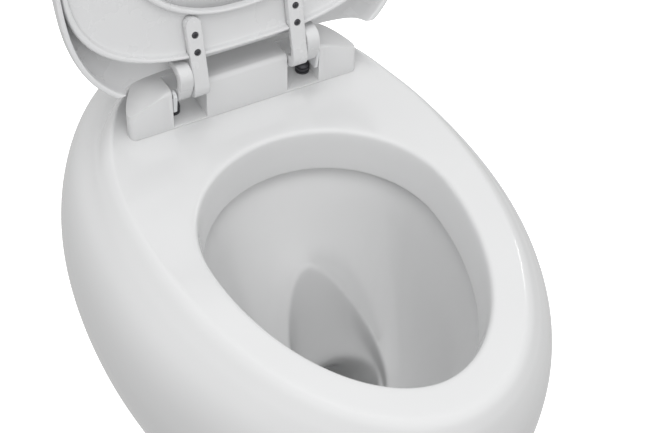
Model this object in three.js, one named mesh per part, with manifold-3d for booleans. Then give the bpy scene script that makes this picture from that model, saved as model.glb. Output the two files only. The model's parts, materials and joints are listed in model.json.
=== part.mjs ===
// A close-coupled toilet: an egg-shaped china pan with a cistern standing on its rear shelf,
// and a plastic seat and lid on stainless hinge posts. The seat and lid are raised.
// Millimetres, +X to the right seen from the front, +Y to the back, +Z up, floor at z = 0.
import * as THREE from "three";
import { mergeVertices } from "three/addons/utils/BufferGeometryUtils.js";
import Module from "manifold-3d";

const wasm = await Module();
wasm.setup();

// ---- Driving dimensions -------------------------------------------------------------
const DECK_HEIGHT = 400; // flat top of the pan, where the seat rests
const DECK_LENGTH = 541; // front edge to the lip behind the hinge cover
const DECK_WIDTH = 364;
const BODY_WIDTH = 474; // widest part of the egg, well below the deck
const FOOT_WIDTH = 326;
const OPENING_LENGTH = 341;
const OPENING_WIDTH = 267;
const CHINA = 13; // wall thickness of the fired clay
const OVERALL_LENGTH = 748; // front of the egg to the back of the cistern
const SHELF_DROP = 15; // the cistern shelf lies this far below the deck
const CISTERN_GAP = 8; // between the shelf and the cistern, filled by the doughnut washer
const CISTERN_HEIGHT = 342;
const CISTERN_WIDTH = 356; // at the top
const CISTERN_BASE_WIDTH = 224;
const CISTERN_LID_HEIGHT = 28;
const SEAT_LEAN = 17.2; // degrees past upright of the raised seat and lid
const HINGE_SPACING = 155; // between the two hinge posts
const AXIS_HEIGHT = 41; // hinge pins above the deck
const GAP = 0.3; // clearance between touching pieces

// ---- Places worked out from them ----------------------------------------------------
const FRONT = -OVERALL_LENGTH / 2;
const BACK = OVERALL_LENGTH / 2;
const BULGE_REACH = 15; // the egg's front runs this far beyond the deck's
const DECK_FRONT = FRONT + BULGE_REACH;
const LIP_BACK = DECK_FRONT + DECK_LENGTH;
const EGG_MIDDLE = DECK_FRONT + DECK_LENGTH * 0.567; // the widest station
const EGG_FRONT = EGG_MIDDLE - DECK_FRONT; // half lengths ahead of and behind that station
const EGG_BACK = LIP_BACK - EGG_MIDDLE;
const COVER_FRONT = LIP_BACK - 97; // straight front edge of the hinge cover
const AXIS_Y = COVER_FRONT + 6;
const AXIS_Z = DECK_HEIGHT + AXIS_HEIGHT;
const SHELF_Z = DECK_HEIGHT - SHELF_DROP;
const CISTERN_BASE = SHELF_Z + CISTERN_GAP;
const CISTERN_TOP = CISTERN_BASE + CISTERN_HEIGHT;
const CISTERN_FRONT = LIP_BACK + 21;
const VALVE_Y = (CISTERN_FRONT + BACK) / 2; // flush valve, coupling bolts and buttons

// ---- Materials ----------------------------------------------------------------------
function material(color, roughness, metalness) {
  return new THREE.MeshStandardMaterial({ color, roughness, metalness });
}
const china = material(0xf1f2f2, 0.08, 0);
const seatPlastic = material(0xe9eaeb, 0.22, 0);
const coverPlastic = material(0xe4e6e7, 0.3, 0);
const steel = material(0xb9bcbf, 0.25, 1);
const chrome = material(0xd4d6d8, 0.08, 1);
const whitePlastic = material(0xe2e4e5, 0.45, 0);
const greyPlastic = material(0x9ba1a6, 0.5, 0);
const bluePlastic = material(0x3f6f9f, 0.45, 0);
const rubber = material(0x2b2c2e, 0.8, 0);
const clearRubber = material(0xd9dadb, 0.5, 0);
const galvanised = material(0x9a9da0, 0.5, 1);

// ---- Solids -------------------------------------------------------------------------
function solid(geometry) {
  const bare = geometry.clone();
  bare.deleteAttribute("normal");
  bare.deleteAttribute("uv");
  const merged = mergeVertices(bare, 1e-4);
  const corners = merged.index.array;
  const kept = [];
  for (let i = 0; i < corners.length; i += 3) {
    const [a, b, c] = [corners[i], corners[i + 1], corners[i + 2]];
    if (a !== b && b !== c && c !== a) kept.push(a, b, c);
  }
  const vertProperties = new Float32Array(merged.attributes.position.array);
  return new wasm.Manifold(
    new wasm.Mesh({ numProp: 3, vertProperties, triVerts: new Uint32Array(kept) }),
  );
}

function geometryOf(body) {
  const mesh = body.getMesh();
  const geometry = new THREE.BufferGeometry();
  geometry.setAttribute("position", new THREE.BufferAttribute(mesh.vertProperties, 3));
  geometry.setIndex(new THREE.BufferAttribute(mesh.triVerts, 1));
  geometry.computeVertexNormals();
  return geometry;
}

function join(first, ...others) {
  return others.reduce((body, other) => body.add(other), first);
}

function cut(first, ...others) {
  return others.reduce((body, other) => body.subtract(other), first);
}

// A profile of [radius, height] pairs turned about the upright axis through (x, y).
function turned(profile, x = 0, y = 0, segments = 20) {
  const points = profile.map(([radius, height]) => new THREE.Vector2(radius, height));
  return new THREE.LatheGeometry(points, segments).rotateX(Math.PI / 2).translate(x, y, 0);
}

// An upright rod from low to high.
function rod(radius, low, high, x = 0, y = 0, segments = 20) {
  return turned([[0, low], [radius, low], [radius, high], [0, high]], x, y, segments);
}

// A rod along X from left to right, through (y, z).
function crossRod(radius, left, right, y, z, segments = 20) {
  return rod(radius, left, right, 0, 0, segments)
    .rotateY(Math.PI / 2)
    .translate(0, y, z);
}

function box(x0, x1, y0, y1, z0, z1) {
  return new THREE.BoxGeometry(x1 - x0, y1 - y0, z1 - z0).translate(
    (x0 + x1) / 2,
    (y0 + y1) / 2,
    (z0 + z1) / 2,
  );
}

// A side view [y, z] given as a Shape, made into a plate from x0 to x1.
function sidePlate(shape, x0, x1, curveSegments = 8) {
  return new THREE.ExtrudeGeometry(shape, {
    depth: x1 - x0,
    bevelEnabled: false,
    curveSegments,
  })
    .applyMatrix4(new THREE.Matrix4().makeBasis(
      new THREE.Vector3(0, 1, 0),
      new THREE.Vector3(0, 0, 1),
      new THREE.Vector3(1, 0, 0),
    ))
    .translate(x0, 0, 0);
}

// A plan view [x, y] given as a Shape, made into a slab from z0 to z1.
function slab(shape, z0, z1, curveSegments = 8) {
  return new THREE.ExtrudeGeometry(shape, {
    depth: z1 - z0,
    bevelEnabled: false,
    curveSegments,
  }).translate(0, 0, z0);
}

function polygon(points) {
  return new THREE.Shape(points.map(([a, b]) => new THREE.Vector2(a, b)));
}

// A point of an egg outline. The angle runs from the front tip towards +X. The outline is
// { half, front, back, middle }, and blunt and square are its exponents ahead and behind.
function eggPoint(outline, angle) {
  const { half, front, back, middle, blunt = 2, square = 2 } = outline;
  const ahead = Math.cos(angle) > 0;
  const power = 2 / (ahead ? blunt : square);
  const across = Math.sign(Math.sin(angle)) * Math.abs(Math.sin(angle)) ** power;
  const along = Math.sign(Math.cos(angle)) * Math.abs(Math.cos(angle)) ** power;
  return [half * across, middle - (ahead ? front : back) * along];
}

// Eggs stacked from the lowest to the highest station and closed at both ends.
function eggStack(stations, segments = 44, lift = () => 0) {
  const last = stations.length - 1;
  const rows = [new THREE.Vector2(0, 0)];
  stations.forEach((_, row) => rows.push(new THREE.Vector2(1, row)));
  rows.push(new THREE.Vector2(0, last));
  const geometry = new THREE.LatheGeometry(rows, segments).rotateX(Math.PI / 2);
  const position = geometry.attributes.position;
  for (let i = 0; i < position.count; i++) {
    const station = stations[Math.round(position.getZ(i))];
    const radius = Math.hypot(position.getX(i), position.getY(i));
    const angle = Math.atan2(position.getX(i), -position.getY(i));
    const [x, y] = radius < 0.5 ? [0, station.middle] : eggPoint(station, angle);
    const rise = radius < 0.5 ? 0 : (station.lip ?? 0) * lift(y);
    position.setXYZ(i, x, y, station.z + rise);
  }
  return geometry;
}

// A ring between two eggs. The profile is [share of the way outwards, height] and closed.
function eggRing(profile, inner, outer, segments = 44) {
  const rows = [...profile, profile[0]].map((_, row) => new THREE.Vector2(1, row));
  const geometry = new THREE.LatheGeometry(rows, segments).rotateX(Math.PI / 2);
  const position = geometry.attributes.position;
  for (let i = 0; i < position.count; i++) {
    const [share, height] = profile[Math.round(position.getZ(i)) % profile.length];
    const angle = Math.atan2(position.getX(i), -position.getY(i));
    const [innerX, innerY] = eggPoint(inner, angle);
    const [outerX, outerY] = eggPoint(outer, angle);
    position.setXYZ(
      i,
      innerX + share * (outerX - innerX),
      innerY + share * (outerY - innerY),
      height,
    );
  }
  return geometry;
}

function grown(outline, by) {
  return {
    ...outline,
    half: outline.half + by,
    front: outline.front + by,
    back: outline.back + by,
  };
}

// A round pipe along a smooth curve in the plane x = 0 through [y, z] places.
function pipe(radius, places, steps, sides = 12) {
  const curve = new THREE.CatmullRomCurve3(
    places.map(([y, z]) => new THREE.Vector3(0, y, z)),
    false,
    "centripetal",
  );
  const ring = new THREE.Shape();
  ring.absarc(0, 0, radius, 0, Math.PI * 2, false);
  return new THREE.ExtrudeGeometry(ring, {
    steps,
    extrudePath: curve,
    curveSegments: sides / 2,
    bevelEnabled: false,
  });
}

// A six-sided nut with a round hole, resting on low and closed at high.
function hexNut(hole, across, low, high, x = 0, y = 0) {
  const body = rod(across / 2 / Math.cos(Math.PI / 6), low, high, x, y, 6);
  return cut(solid(body), solid(rod(hole, low - 10, high + 10, x, y, 20)));
}

// ---- The tree -----------------------------------------------------------------------
const toilet = new THREE.Group();
const raised = new THREE.Group(); // the seat's and lid's own frame: closed flat, axis at 0
raised.position.set(0, AXIS_Y, AXIS_Z);
raised.rotation.x = THREE.MathUtils.degToRad(-90 - SEAT_LEAN);
toilet.add(raised);

function add(name, shape, look, parent = toilet) {
  const geometry = shape instanceof THREE.BufferGeometry ? shape : geometryOf(shape);
  const mesh = new THREE.Mesh(geometry, look);
  mesh.name = name;
  parent.add(mesh);
  return mesh;
}

const SIDES = [["left", -1], ["right", 1]];

// ---- Pan ----------------------------------------------------------------------------
function bodyStations() {
  const deckHalf = DECK_WIDTH / 2;
  const bodyHalf = BODY_WIDTH / 2;
  const footHalf = FOOT_WIDTH / 2;
  const at = (share, half, front, back, square = 2.15, lip = 0) => ({
    z: DECK_HEIGHT * share,
    half,
    front: EGG_FRONT + front,
    back: EGG_BACK + back,
    middle: EGG_MIDDLE,
    square,
    lip,
  });
  return [
    at(0, footHalf - 3, -47, -8),
    at(0.01, footHalf, -44, -5),
    at(0.27, (footHalf + bodyHalf) / 2 - 7, -14, 30),
    at(0.51, bodyHalf - 12, 9, 68),
    at(0.62, bodyHalf - 2, 14, 88),
    at(0.71, bodyHalf, BULGE_REACH, 98),
    at(0.8, bodyHalf - 8, 14, 98),
    at(0.88, deckHalf + 34, 11, 86),
    at(0.935, deckHalf + 19, 8, 58),
    at(0.965, deckHalf + 9, 4, 14, 2.5),
    at(0.985, deckHalf + 2, 0, 2, 2.6, 0.7),
    at(0.997, deckHalf - 4, -6, -2, 2.6, 1),
    at(1, deckHalf - 8, -12, -5, 2.6, 1),
    at(1, deckHalf - 12, -22, -10, 2.6),
  ];
}

const LIP_HEIGHT = 11; // the deck's raised lip behind the hinge cover

function lipLift(y) {
  const share = THREE.MathUtils.smoothstep(y, COVER_FRONT - 25, COVER_FRONT + 45);
  return LIP_HEIGHT * share;
}

const opening = {
  half: OPENING_WIDTH / 2,
  front: OPENING_LENGTH * 0.626,
  back: OPENING_LENGTH * 0.374,
  middle: DECK_FRONT + 44.5 + OPENING_LENGTH * 0.626,
  blunt: 1.93,
};
const SUMP_Y = opening.middle - 30; // the deepest part of the bowl
const SUMP_Z = DECK_HEIGHT - 215;

// The bowl from its sump up: the funnel, the undercut below the rim and the rim's own wall.
function bowlStations(by) {
  const at = (z, half, front, back, middle) => ({
    ...grown({ half, front, back, middle }, by),
    blunt: opening.blunt,
    z,
  });
  return [
    at(SUMP_Z - by, 30, 30, 34, SUMP_Y),
    at(SUMP_Z + 25, 42, 44, 44, SUMP_Y),
    at(SUMP_Z + 62, 62, 86, 64, SUMP_Y + 2),
    at(SUMP_Z + 90, 98, 150, 96, SUMP_Y + 16),
    at(SUMP_Z + 125, 127, 196, 120, SUMP_Y + 26),
    at(SUMP_Z + 158, 139, 215, 131, opening.middle),
    { ...grown(opening, 5 + by), z: DECK_HEIGHT - 49 },
  ];
}

function rimStations() {
  const at = (depth, by) => ({ ...grown(opening, by), z: DECK_HEIGHT - depth });
  return [at(50, -6), at(6, 0), at(1.5, 1.5), at(0, 5), at(-20, 6)];
}

const OUTLET_Z = 180;
const OUTLET_END = BACK - 34;
const TRAP_RADIUS = 37;
const SPIGOT_RADIUS = 50;
const trapPlaces = [
  [SUMP_Y - 8, SUMP_Z + 36],
  [SUMP_Y + 10, SUMP_Z - 6],
  [SUMP_Y + 78, SUMP_Z - 34],
  [SUMP_Y + 150, SUMP_Z + 16],
  [SUMP_Y + 215, SUMP_Z + 52],
  [SUMP_Y + 285, SUMP_Z + 20],
  [OUTLET_END - 100, OUTLET_Z],
  [OUTLET_END, OUTLET_Z],
];
const flushPlaces = [
  [VALVE_Y, SHELF_Z + 20],
  [VALVE_Y, SHELF_Z - 30],
  [VALVE_Y - 55, SHELF_Z - 60],
  [LIP_BACK - 60, SHELF_Z - 56],
  [opening.middle + opening.back + 18, SHELF_Z - 56],
];
const FLUSH_SLOT = [DECK_HEIGHT - 60, DECK_HEIGHT - 50.5]; // under the rim, at its back

const NECK_HALF = 94; // the rear part that carries the cistern
const NECK_BACK = BACK - 24;
const BOLT_HOLE = 7;
const BOLT_END = DECK_HEIGHT - 60; // lower end of the hinge posts' threads
const boltX = HINGE_SPACING / 2;
const boltY = COVER_FRONT + 23;
const COUPLING_X = 70; // the two bolts that hold the cistern down
const SIDE_FIXING_Z = 34;
const capSeat = FOOT_WIDTH / 2 + 1; // the flat at the bottom of each side fixing's recess

function neck(half, from, to, low, high, corner) {
  const shape = new THREE.Shape();
  shape.moveTo(-half, from);
  shape.lineTo(half, from);
  shape.lineTo(half, to - corner);
  shape.absarc(half - corner, to - corner, corner, 0, Math.PI / 2, false);
  shape.absarc(corner - half, to - corner, corner, Math.PI / 2, Math.PI, false);
  return slab(shape, low, high, 7);
}

function makePan() {
  const stations = bodyStations();
  const outside = solid(eggStack(stations, 40, lipLift));
  const neckBlock = solid(neck(NECK_HALF, EGG_MIDDLE + 100, NECK_BACK, 232, SHELF_Z, 72));
  const trapWall = solid(pipe(SPIGOT_RADIUS, trapPlaces, 12));
  const hollowStations = stations
    .filter((station) => station.z > 10 && station.z < DECK_HEIGHT * 0.95)
    .map((station) => ({ ...grown(station, -CHINA), lip: 0 }));
  const foot = grown(stations[1], -CHINA - 6);
  const ceiling = { ...grown(stations[8], -CHINA - 10), lip: 0, z: DECK_HEIGHT - 15 };
  const hollow = solid(eggStack([{ ...foot, z: -5 }, ...hollowStations, ceiling], 28));
  const neckHollow = solid(
    neck(NECK_HALF - CHINA, EGG_MIDDLE + 150, NECK_BACK - CHINA, 226, SHELF_Z - 23, 59),
  );
  const bowlWall = solid(eggStack(bowlStations(CHINA), 28));
  const wallEnd = [opening.middle + opening.back + 6, SHELF_Z - 56];
  const flushWall = solid(pipe(42, [...flushPlaces.slice(0, 4), wallEnd], 8));
  const empty = cut(join(hollow, neckHollow), bowlWall, trapWall, flushWall);
  const trap = solid(pipe(TRAP_RADIUS, [...trapPlaces, [OUTLET_END + 30, OUTLET_Z]], 14));
  const holes = [
    solid(rod(46, SHELF_Z - 10, SHELF_Z + 40, 0, VALVE_Y, 22)),
    solid(rod(31, SHELF_Z - 28, SHELF_Z + 20, 0, VALVE_Y, 20)),
    solid(pipe(27, flushPlaces, 8)),
    solid(box(-40, 40, opening.middle + opening.back - 4, opening.middle + opening.back + 34,
      ...FLUSH_SLOT)),
  ];
  for (const [, side] of SIDES) {
    const [under, over] = [BOLT_END - 10, DECK_HEIGHT + 30];
    holes.push(solid(rod(BOLT_HOLE, under, over, side * boltX, boltY, 16)));
    holes.push(solid(rod(6, under, over, side * COUPLING_X, VALVE_Y, 14)));
    const [near, far] = [FOOT_WIDTH / 2 - 40, FOOT_WIDTH / 2 + 30];
    const ends = side < 0 ? [-far, -near] : [near, far];
    holes.push(solid(crossRod(4.2, ends[0], ends[1], EGG_MIDDLE, SIDE_FIXING_Z, 12)));
    const face = side < 0 ? [-far, -capSeat] : [capSeat, far];
    holes.push(solid(crossRod(10, face[0], face[1], EGG_MIDDLE, SIDE_FIXING_Z, 18)));
  }
  const bowl = join(solid(eggStack(bowlStations(0), 36)), solid(eggStack(rimStations(), 36)));
  const clay = join(outside, neckBlock, trapWall);
  return cut(clay, empty, bowl, trap, ...holes);
}
add("pan", makePan(), china);

// ---- Side fixings at the foot -------------------------------------------------------
const footInside = FOOT_WIDTH / 2 - CHINA - 8;
for (const [word, side] of SIDES) {
  const turn = side < 0 ? Math.PI : 0;
  const bracket = join(
    solid(box(footInside - 30, footInside - 4, -20, 20, 0, 4)),
    solid(box(footInside - 8, footInside - 4, -20, 20, 0, 54)),
  );
  const hole = solid(crossRod(3.4, footInside - 20, footInside, 0, SIDE_FIXING_Z, 12));
  const boltDown = solid(rod(4, -5, 10, footInside - 20, 0, 12));
  const screw = turned(
    [[0, footInside - 14], [3, footInside - 14], [3, capSeat + GAP], [7, capSeat + GAP],
      [6, capSeat + 3.2], [0, capSeat + 3.2]], 0, 0, 14,
  ).rotateY(Math.PI / 2).translate(0, 0, SIDE_FIXING_Z);
  const cap = turned(
    [[0, capSeat + 4.4], [8.2, capSeat + 4.4], [8.2, capSeat + GAP], [9.6, capSeat + GAP],
      [9.6, capSeat + 6], [8.4, capSeat + 7], [0, capSeat + 7.4]], 0, 0, 18,
  ).rotateY(Math.PI / 2).translate(0, 0, SIDE_FIXING_Z);
  const place = new THREE.Group();
  place.position.y = EGG_MIDDLE;
  place.rotation.z = turn;
  toilet.add(place);
  add(`floor_bracket_${word}`, cut(bracket, hole, boltDown), galvanised, place);
  add(`side_fixing_screw_${word}`, screw, steel, place);
  add(`side_fixing_cap_${word}`, cap, whitePlastic, place);
}

// ---- Hinge cover --------------------------------------------------------------------
const COVER_HALF = 133.5;
const COVER_BACK = 88; // depth of its rounded back behind the straight front
const NOTCH_IN = HINGE_SPACING / 2 - 29.9;
const NOTCH_OUT = HINGE_SPACING / 2 + 8.5;
const NOTCH_DEPTH = 34;
const COVER_FLOOR = 2.5;

function makeHingeCover() {
  const plan = new THREE.Shape();
  const start = Math.asin(5 / COVER_BACK);
  plan.absellipse(0, -5, COVER_HALF + 3, COVER_BACK, start, Math.PI - start, false, 0);
  plan.lineTo(-COVER_HALF, 0);
  plan.lineTo(COVER_HALF, 0);
  const base = slab(plan, 0, 60, 26).translate(0, COVER_FRONT, DECK_HEIGHT + GAP);
  const side = new THREE.Shape();
  side.moveTo(0, 0);
  side.lineTo(4, 45);
  side.quadraticCurveTo(5, 49, 9, 49);
  side.bezierCurveTo(40, 48, 72, 34, COVER_BACK, 14);
  side.lineTo(COVER_BACK, 0);
  const wedge = sidePlate(side, -170, 170, 7).translate(0, COVER_FRONT, DECK_HEIGHT + GAP);
  const front = polygon([
    [-145, -5], [145, -5], [145, 24], [COVER_HALF, 29], [88, 50], [60, 60],
    [-60, 60], [-88, 50], [-COVER_HALF, 29], [-145, 24],
  ]);
  const ends = slab(front, -120, 20).rotateX(Math.PI / 2).translate(0, COVER_FRONT, DECK_HEIGHT);
  const floor = DECK_HEIGHT + GAP + COVER_FLOOR;
  const notches = SIDES.flatMap(([, side]) => {
    const xs = side < 0 ? [-NOTCH_OUT, -NOTCH_IN] : [NOTCH_IN, NOTCH_OUT];
    return [
      solid(box(...xs, COVER_FRONT - 5, COVER_FRONT + NOTCH_DEPTH, floor, floor + 80)),
      solid(rod(5, floor - 20, floor + 20, side * boltX, boltY, 14)),
    ];
  });
  return cut(solid(base).intersect(solid(wedge)).intersect(solid(ends)), ...notches);
}
add("hinge_cover", makeHingeCover(), coverPlastic);

// ---- Hinge posts, pins and their fixings below the deck -----------------------------
const PIN_RADIUS = 3;
const KNUCKLE = 6.2; // outer radius of the arms' eyes round the pin
const ARM_IN = NOTCH_IN + 0.8;
const SEAT_ARM_OUT = ARM_IN + 17;
const LID_ARM_IN = SEAT_ARM_OUT + 0.5;
const LID_ARM_OUT = LID_ARM_IN + 14.5;
const EYE_IN = LID_ARM_OUT + 0.5;
const EYE_OUT = NOTCH_OUT - 0.8;
const floorTop = DECK_HEIGHT + GAP + COVER_FLOOR;

for (const [word, side] of SIDES) {
  const place = new THREE.Group();
  if (side < 0) place.scale.x = -1;
  toilet.add(place);
  const post = turned(
    [[0, BOLT_END], [4, BOLT_END], [4, floorTop + GAP], [7.8, floorTop + GAP],
      [7.8, floorTop + 12],
      [5, floorTop + 13], [5, floorTop + 19], [0, floorTop + 19]], boltX, boltY, 18,
  );
  const carrier = box(boltX - 6, EYE_OUT, AXIS_Y - 4, boltY + 6, floorTop + 18, floorTop + 22);
  const eyeShape = new THREE.Shape();
  eyeShape.absarc(AXIS_Y, AXIS_Z, 6, 0, Math.PI, false);
  eyeShape.lineTo(AXIS_Y - 4, floorTop + 18);
  eyeShape.lineTo(boltY + 6, floorTop + 18);
  const eye = sidePlate(eyeShape, EYE_IN, EYE_OUT, 12);
  const bore = crossRod(PIN_RADIUS + 0.1, EYE_IN - 5, EYE_OUT + 5, AXIS_Y, AXIS_Z, 18);
  add(`hinge_post_${word}`, cut(join(solid(post), solid(carrier), solid(eye)), solid(bore)),
    steel, place);
  add(`hinge_pin_${word}`, crossRod(PIN_RADIUS, ARM_IN, EYE_OUT, AXIS_Y, AXIS_Z, 18),
    steel, place);
  const under = DECK_HEIGHT - 15 - GAP;
  add(`hinge_washer_${word}`, turned(
    [[4.3, under - 5], [12, under - 5], [12, under], [4.3, under], [4.3, under - 5]],
    boltX, boltY, 18), rubber, place);
  add(`hinge_wing_nut_${word}`, wingNut(4.3, under - 5 - GAP, boltX, boltY), whitePlastic, place);
}

// A plastic nut with two wings, its top face at the given height.
function wingNut(hole, top, x, y) {
  const hub = rod(9, top - 14, top, x, y, 12);
  const wings = box(x - 2, x + 2, y - 17, y + 17, top - 18, top - 4);
  return cut(join(solid(hub), solid(wings)), solid(rod(hole, top - 40, top + 10, x, y, 12)));
}

// ---- Seat ---------------------------------------------------------------------------
// In the raised group's frame y is minus the distance from the hinge axis.
const SEAT_BACK = 39.6;
const SEAT_REACH = AXIS_Y - DECK_FRONT + 3; // the seat's front runs 3 mm past the deck
const SEAT_MIDDLE = -150;
const SEAT_UNDER = -14.6; // bottom of the seat's rims below the axis
const SEAT_THICKNESS = 20;
const SEAT_TOP = SEAT_UNDER + SEAT_THICKNESS;
const RING_WIDTH = 66;
const ARM_FACE = -17.6;
const ARM_END = -86;
const seatOuter = {
  half: DECK_WIDTH / 2 + 2,
  front: SEAT_REACH + SEAT_MIDDLE,
  back: -SEAT_MIDDLE - SEAT_BACK,
  middle: SEAT_MIDDLE,
  square: 2.8,
};
const seatInner = {
  half: seatOuter.half - RING_WIDTH,
  front: SEAT_REACH - 64 - 190,
  back: 190 - 83.4,
  middle: -190,
  square: 2.2,
};
const SCREW_PLACES = [-48, -67.2];

function makeSeat() {
  const ring = solid(eggRing([
    [0, SEAT_TOP - 12], [0.03, SEAT_UNDER], [0.1, SEAT_UNDER], [0.13, SEAT_UNDER + 7],
    [0.87, SEAT_UNDER + 7], [0.9, SEAT_UNDER], [0.98, SEAT_UNDER], [1, SEAT_TOP - 11],
    [0.96, SEAT_TOP - 4], [0.7, SEAT_TOP], [0.3, SEAT_TOP - 1], [0.1, SEAT_TOP - 4],
  ], seatInner, seatOuter, 40));
  const cuts = SIDES.flatMap(([, side]) => {
    const xs = side < 0 ? [-SEAT_ARM_OUT - GAP, -ARM_IN + GAP] : [ARM_IN - GAP, SEAT_ARM_OUT + GAP];
    const holes = SCREW_PLACES.map((y) =>
      solid(rod(2, -30, SEAT_UNDER + 13, side * (ARM_IN + 8.5), y, 10)));
    return [solid(box(...xs, ARM_END - GAP, -30, -40, SEAT_UNDER + 7.4)), ...holes];
  });
  return cut(ring, ...cuts);
}
add("seat", makeSeat(), seatPlastic, raised);

// An arm in side view: the knuckle round the pin and a strap out to the far end.
function seatArm() {
  const side = new THREE.Shape();
  side.moveTo(ARM_END, ARM_FACE);
  side.lineTo(-7, ARM_FACE);
  side.quadraticCurveTo(2, ARM_FACE, KNUCKLE * 0.87, -KNUCKLE * 0.5);
  side.absarc(0, 0, KNUCKLE, -Math.PI / 6, Math.PI, false);
  side.quadraticCurveTo(-KNUCKLE - 1, ARM_FACE + 7, -14, ARM_FACE + 7);
  side.lineTo(-36, ARM_FACE + 7);
  side.lineTo(-44, SEAT_UNDER + 7 - GAP);
  side.lineTo(ARM_END, SEAT_UNDER + 7 - GAP);
  const plate = solid(sidePlate(side, ARM_IN, SEAT_ARM_OUT, 8));
  const middle = (ARM_IN + SEAT_ARM_OUT) / 2;
  const width = SEAT_ARM_OUT - ARM_IN;
  const plan = new THREE.Shape();
  plan.moveTo(middle + width / 2, 20);
  plan.lineTo(middle - width / 2, 20);
  plan.absarc(middle, ARM_END + width / 2, width / 2, Math.PI, Math.PI * 2, false);
  const rounded = plate.intersect(solid(slab(plan, -60, 60, 6)));
  const holes = SCREW_PLACES.map((y) => solid(rod(2, -40, 0, middle, y, 10)));
  return cut(rounded, solid(crossRod(PIN_RADIUS + 0.1, 0, 120, 0, 0, 18)), ...holes);
}

function screw(length, headDown) {
  const head = headDown ? -1 : 1;
  const profile = [[0, -length], [1.7, -length], [1.7, 0], [3.4, 0], [2.9, 1.4], [0, 1.8]];
  const geometry = turned(profile, 0, 0, 10);
  return head < 0 ? geometry.rotateX(Math.PI) : geometry;
}

const LID_UNDER = SEAT_TOP + 8; // the lid's inner face
const LID_TOP = 22;
const LID_SCREWS = [-46, -62];

for (const [word, side] of SIDES) {
  const place = new THREE.Group();
  if (side < 0) place.scale.x = -1;
  raised.add(place);
  add(`seat_arm_${word}`, seatArm(), seatPlastic, place);
  ["rear", "front"].forEach((spot, i) => {
    const item = add(`seat_screw_${word}_${spot}`, screw(15, true), steel, place);
    item.position.set((ARM_IN + SEAT_ARM_OUT) / 2, SCREW_PLACES[i], ARM_FACE - GAP);
  });
  add(`lid_arm_${word}`, lidArm(), seatPlastic, place);
  ["rear", "front"].forEach((spot, i) => {
    const item = add(`lid_screw_${word}_${spot}`, screw(7, true), steel, place);
    item.position.set((LID_ARM_IN + LID_ARM_OUT) / 2, LID_SCREWS[i], LID_UNDER - 3.5 - GAP);
  });
}

function lidArm() {
  const top = LID_UNDER - GAP;
  const side = new THREE.Shape();
  side.moveTo(-72, top);
  side.lineTo(-72, top - 3.5);
  side.lineTo(-40, top - 3.5);
  side.lineTo(-38, -5);
  side.bezierCurveTo(-37, -24, -16, -24, KNUCKLE * 0.87, -KNUCKLE * 0.5);
  side.absarc(0, 0, KNUCKLE, -Math.PI / 6, Math.PI * 0.9, false);
  side.bezierCurveTo(-10, -8, -25, -12, -30, 2);
  side.lineTo(-34, top);
  const plate = solid(sidePlate(side, LID_ARM_IN, LID_ARM_OUT, 10));
  const middle = (LID_ARM_IN + LID_ARM_OUT) / 2;
  const holes = LID_SCREWS.map((y) => solid(rod(2, -40, 40, middle, y, 10)));
  return cut(plate, solid(crossRod(PIN_RADIUS + 0.1, 0, 120, 0, 0, 18)), ...holes);
}

// ---- Lid ----------------------------------------------------------------------------
const LID_BACK = 25; // its straight rear edge, from the hinge axis
const LID_LIP = -18; // the edge of its side wall, which comes down round the seat
const LID_WALL = 5;

// The lid is a shallow dish: flat on top and rolled down to its lip at the sides and front.
function lidStation(z, inset) {
  return {
    z,
    half: DECK_WIDTH / 2 + 9 - inset,
    front: SEAT_REACH + 8 + SEAT_MIDDLE - inset,
    back: 155 - inset,
    middle: SEAT_MIDDLE,
    square: 3,
  };
}

function makeLid() {
  const roll = [[LID_LIP, 0], [-2, 1], [8, 4], [15, 10], [19.5, 18], [LID_TOP, 32]];
  const outside = solid(eggStack(roll.map(([z, inset]) => lidStation(z, inset)), 44));
  const inner = [[LID_LIP - 5, LID_WALL], [-2, LID_WALL + 1], [5, 9], [10, 16], [LID_UNDER, 28]];
  const inside = solid(eggStack(inner.map(([z, inset]) => lidStation(z, inset)), 44));
  const rear = solid(box(-250, 250, -LID_BACK, 120, -60, 60));
  const holes = SIDES.flatMap(([, side]) => LID_SCREWS.map((y) =>
    solid(rod(2, 0, LID_UNDER + 4.5, side * (LID_ARM_IN + LID_ARM_OUT) / 2, y, 10))));
  return cut(outside, inside, rear, ...holes);
}
add("lid", makeLid(), seatPlastic, raised);

// ---- Buffers ------------------------------------------------------------------------
// Closed, the seat tips forward until its buffers meet the deck.
const CLOSED_TIP = THREE.MathUtils.degToRad(1.8);
const BUFFERS = [
  ["rear", 146, -205],
  ["front", 128, -330],
];
for (const [word, side] of SIDES) {
  for (const [spot, x, y] of BUFFERS) {
    const reach = AXIS_HEIGHT / Math.cos(CLOSED_TIP) + y * Math.tan(CLOSED_TIP) - 1.2;
    const top = SEAT_UNDER + 7 - GAP;
    add(`seat_buffer_${word}_${spot}`, turned(
      [[0, -reach], [7, -reach], [8.5, -reach + 2], [9.5, top], [0, top]], side * x, y, 16),
    clearRubber, raised);
  }
  add(`lid_buffer_${word}`, turned(
    [[0, SEAT_TOP + 0.6], [6, SEAT_TOP + 0.6], [7, LID_UNDER - GAP], [0, LID_UNDER - GAP]],
    side * 104, -345, 16), clearRubber, raised);
}

// ---- Cistern ------------------------------------------------------------------------
const CISTERN_WALL = 9;
const CISTERN_FLOOR = CISTERN_BASE + 12;

function cisternStation(share, half, from, inset = 0) {
  const middle = VALVE_Y + 18;
  const z = CISTERN_BASE + CISTERN_HEIGHT * share;
  const lean = THREE.MathUtils.degToRad(SEAT_LEAN);
  const lidBack = AXIS_Y + (z + CISTERN_LID_HEIGHT - AXIS_Z) * Math.tan(lean) + LID_TOP + 8;
  const front = Math.max(from, lidBack); // it stays behind the raised lid
  return {
    z,
    half: half - inset,
    front: middle - front - inset,
    back: BACK + 4 - middle - inset,
    middle,
    blunt: 3,
    square: 7,
  };
}

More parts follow.
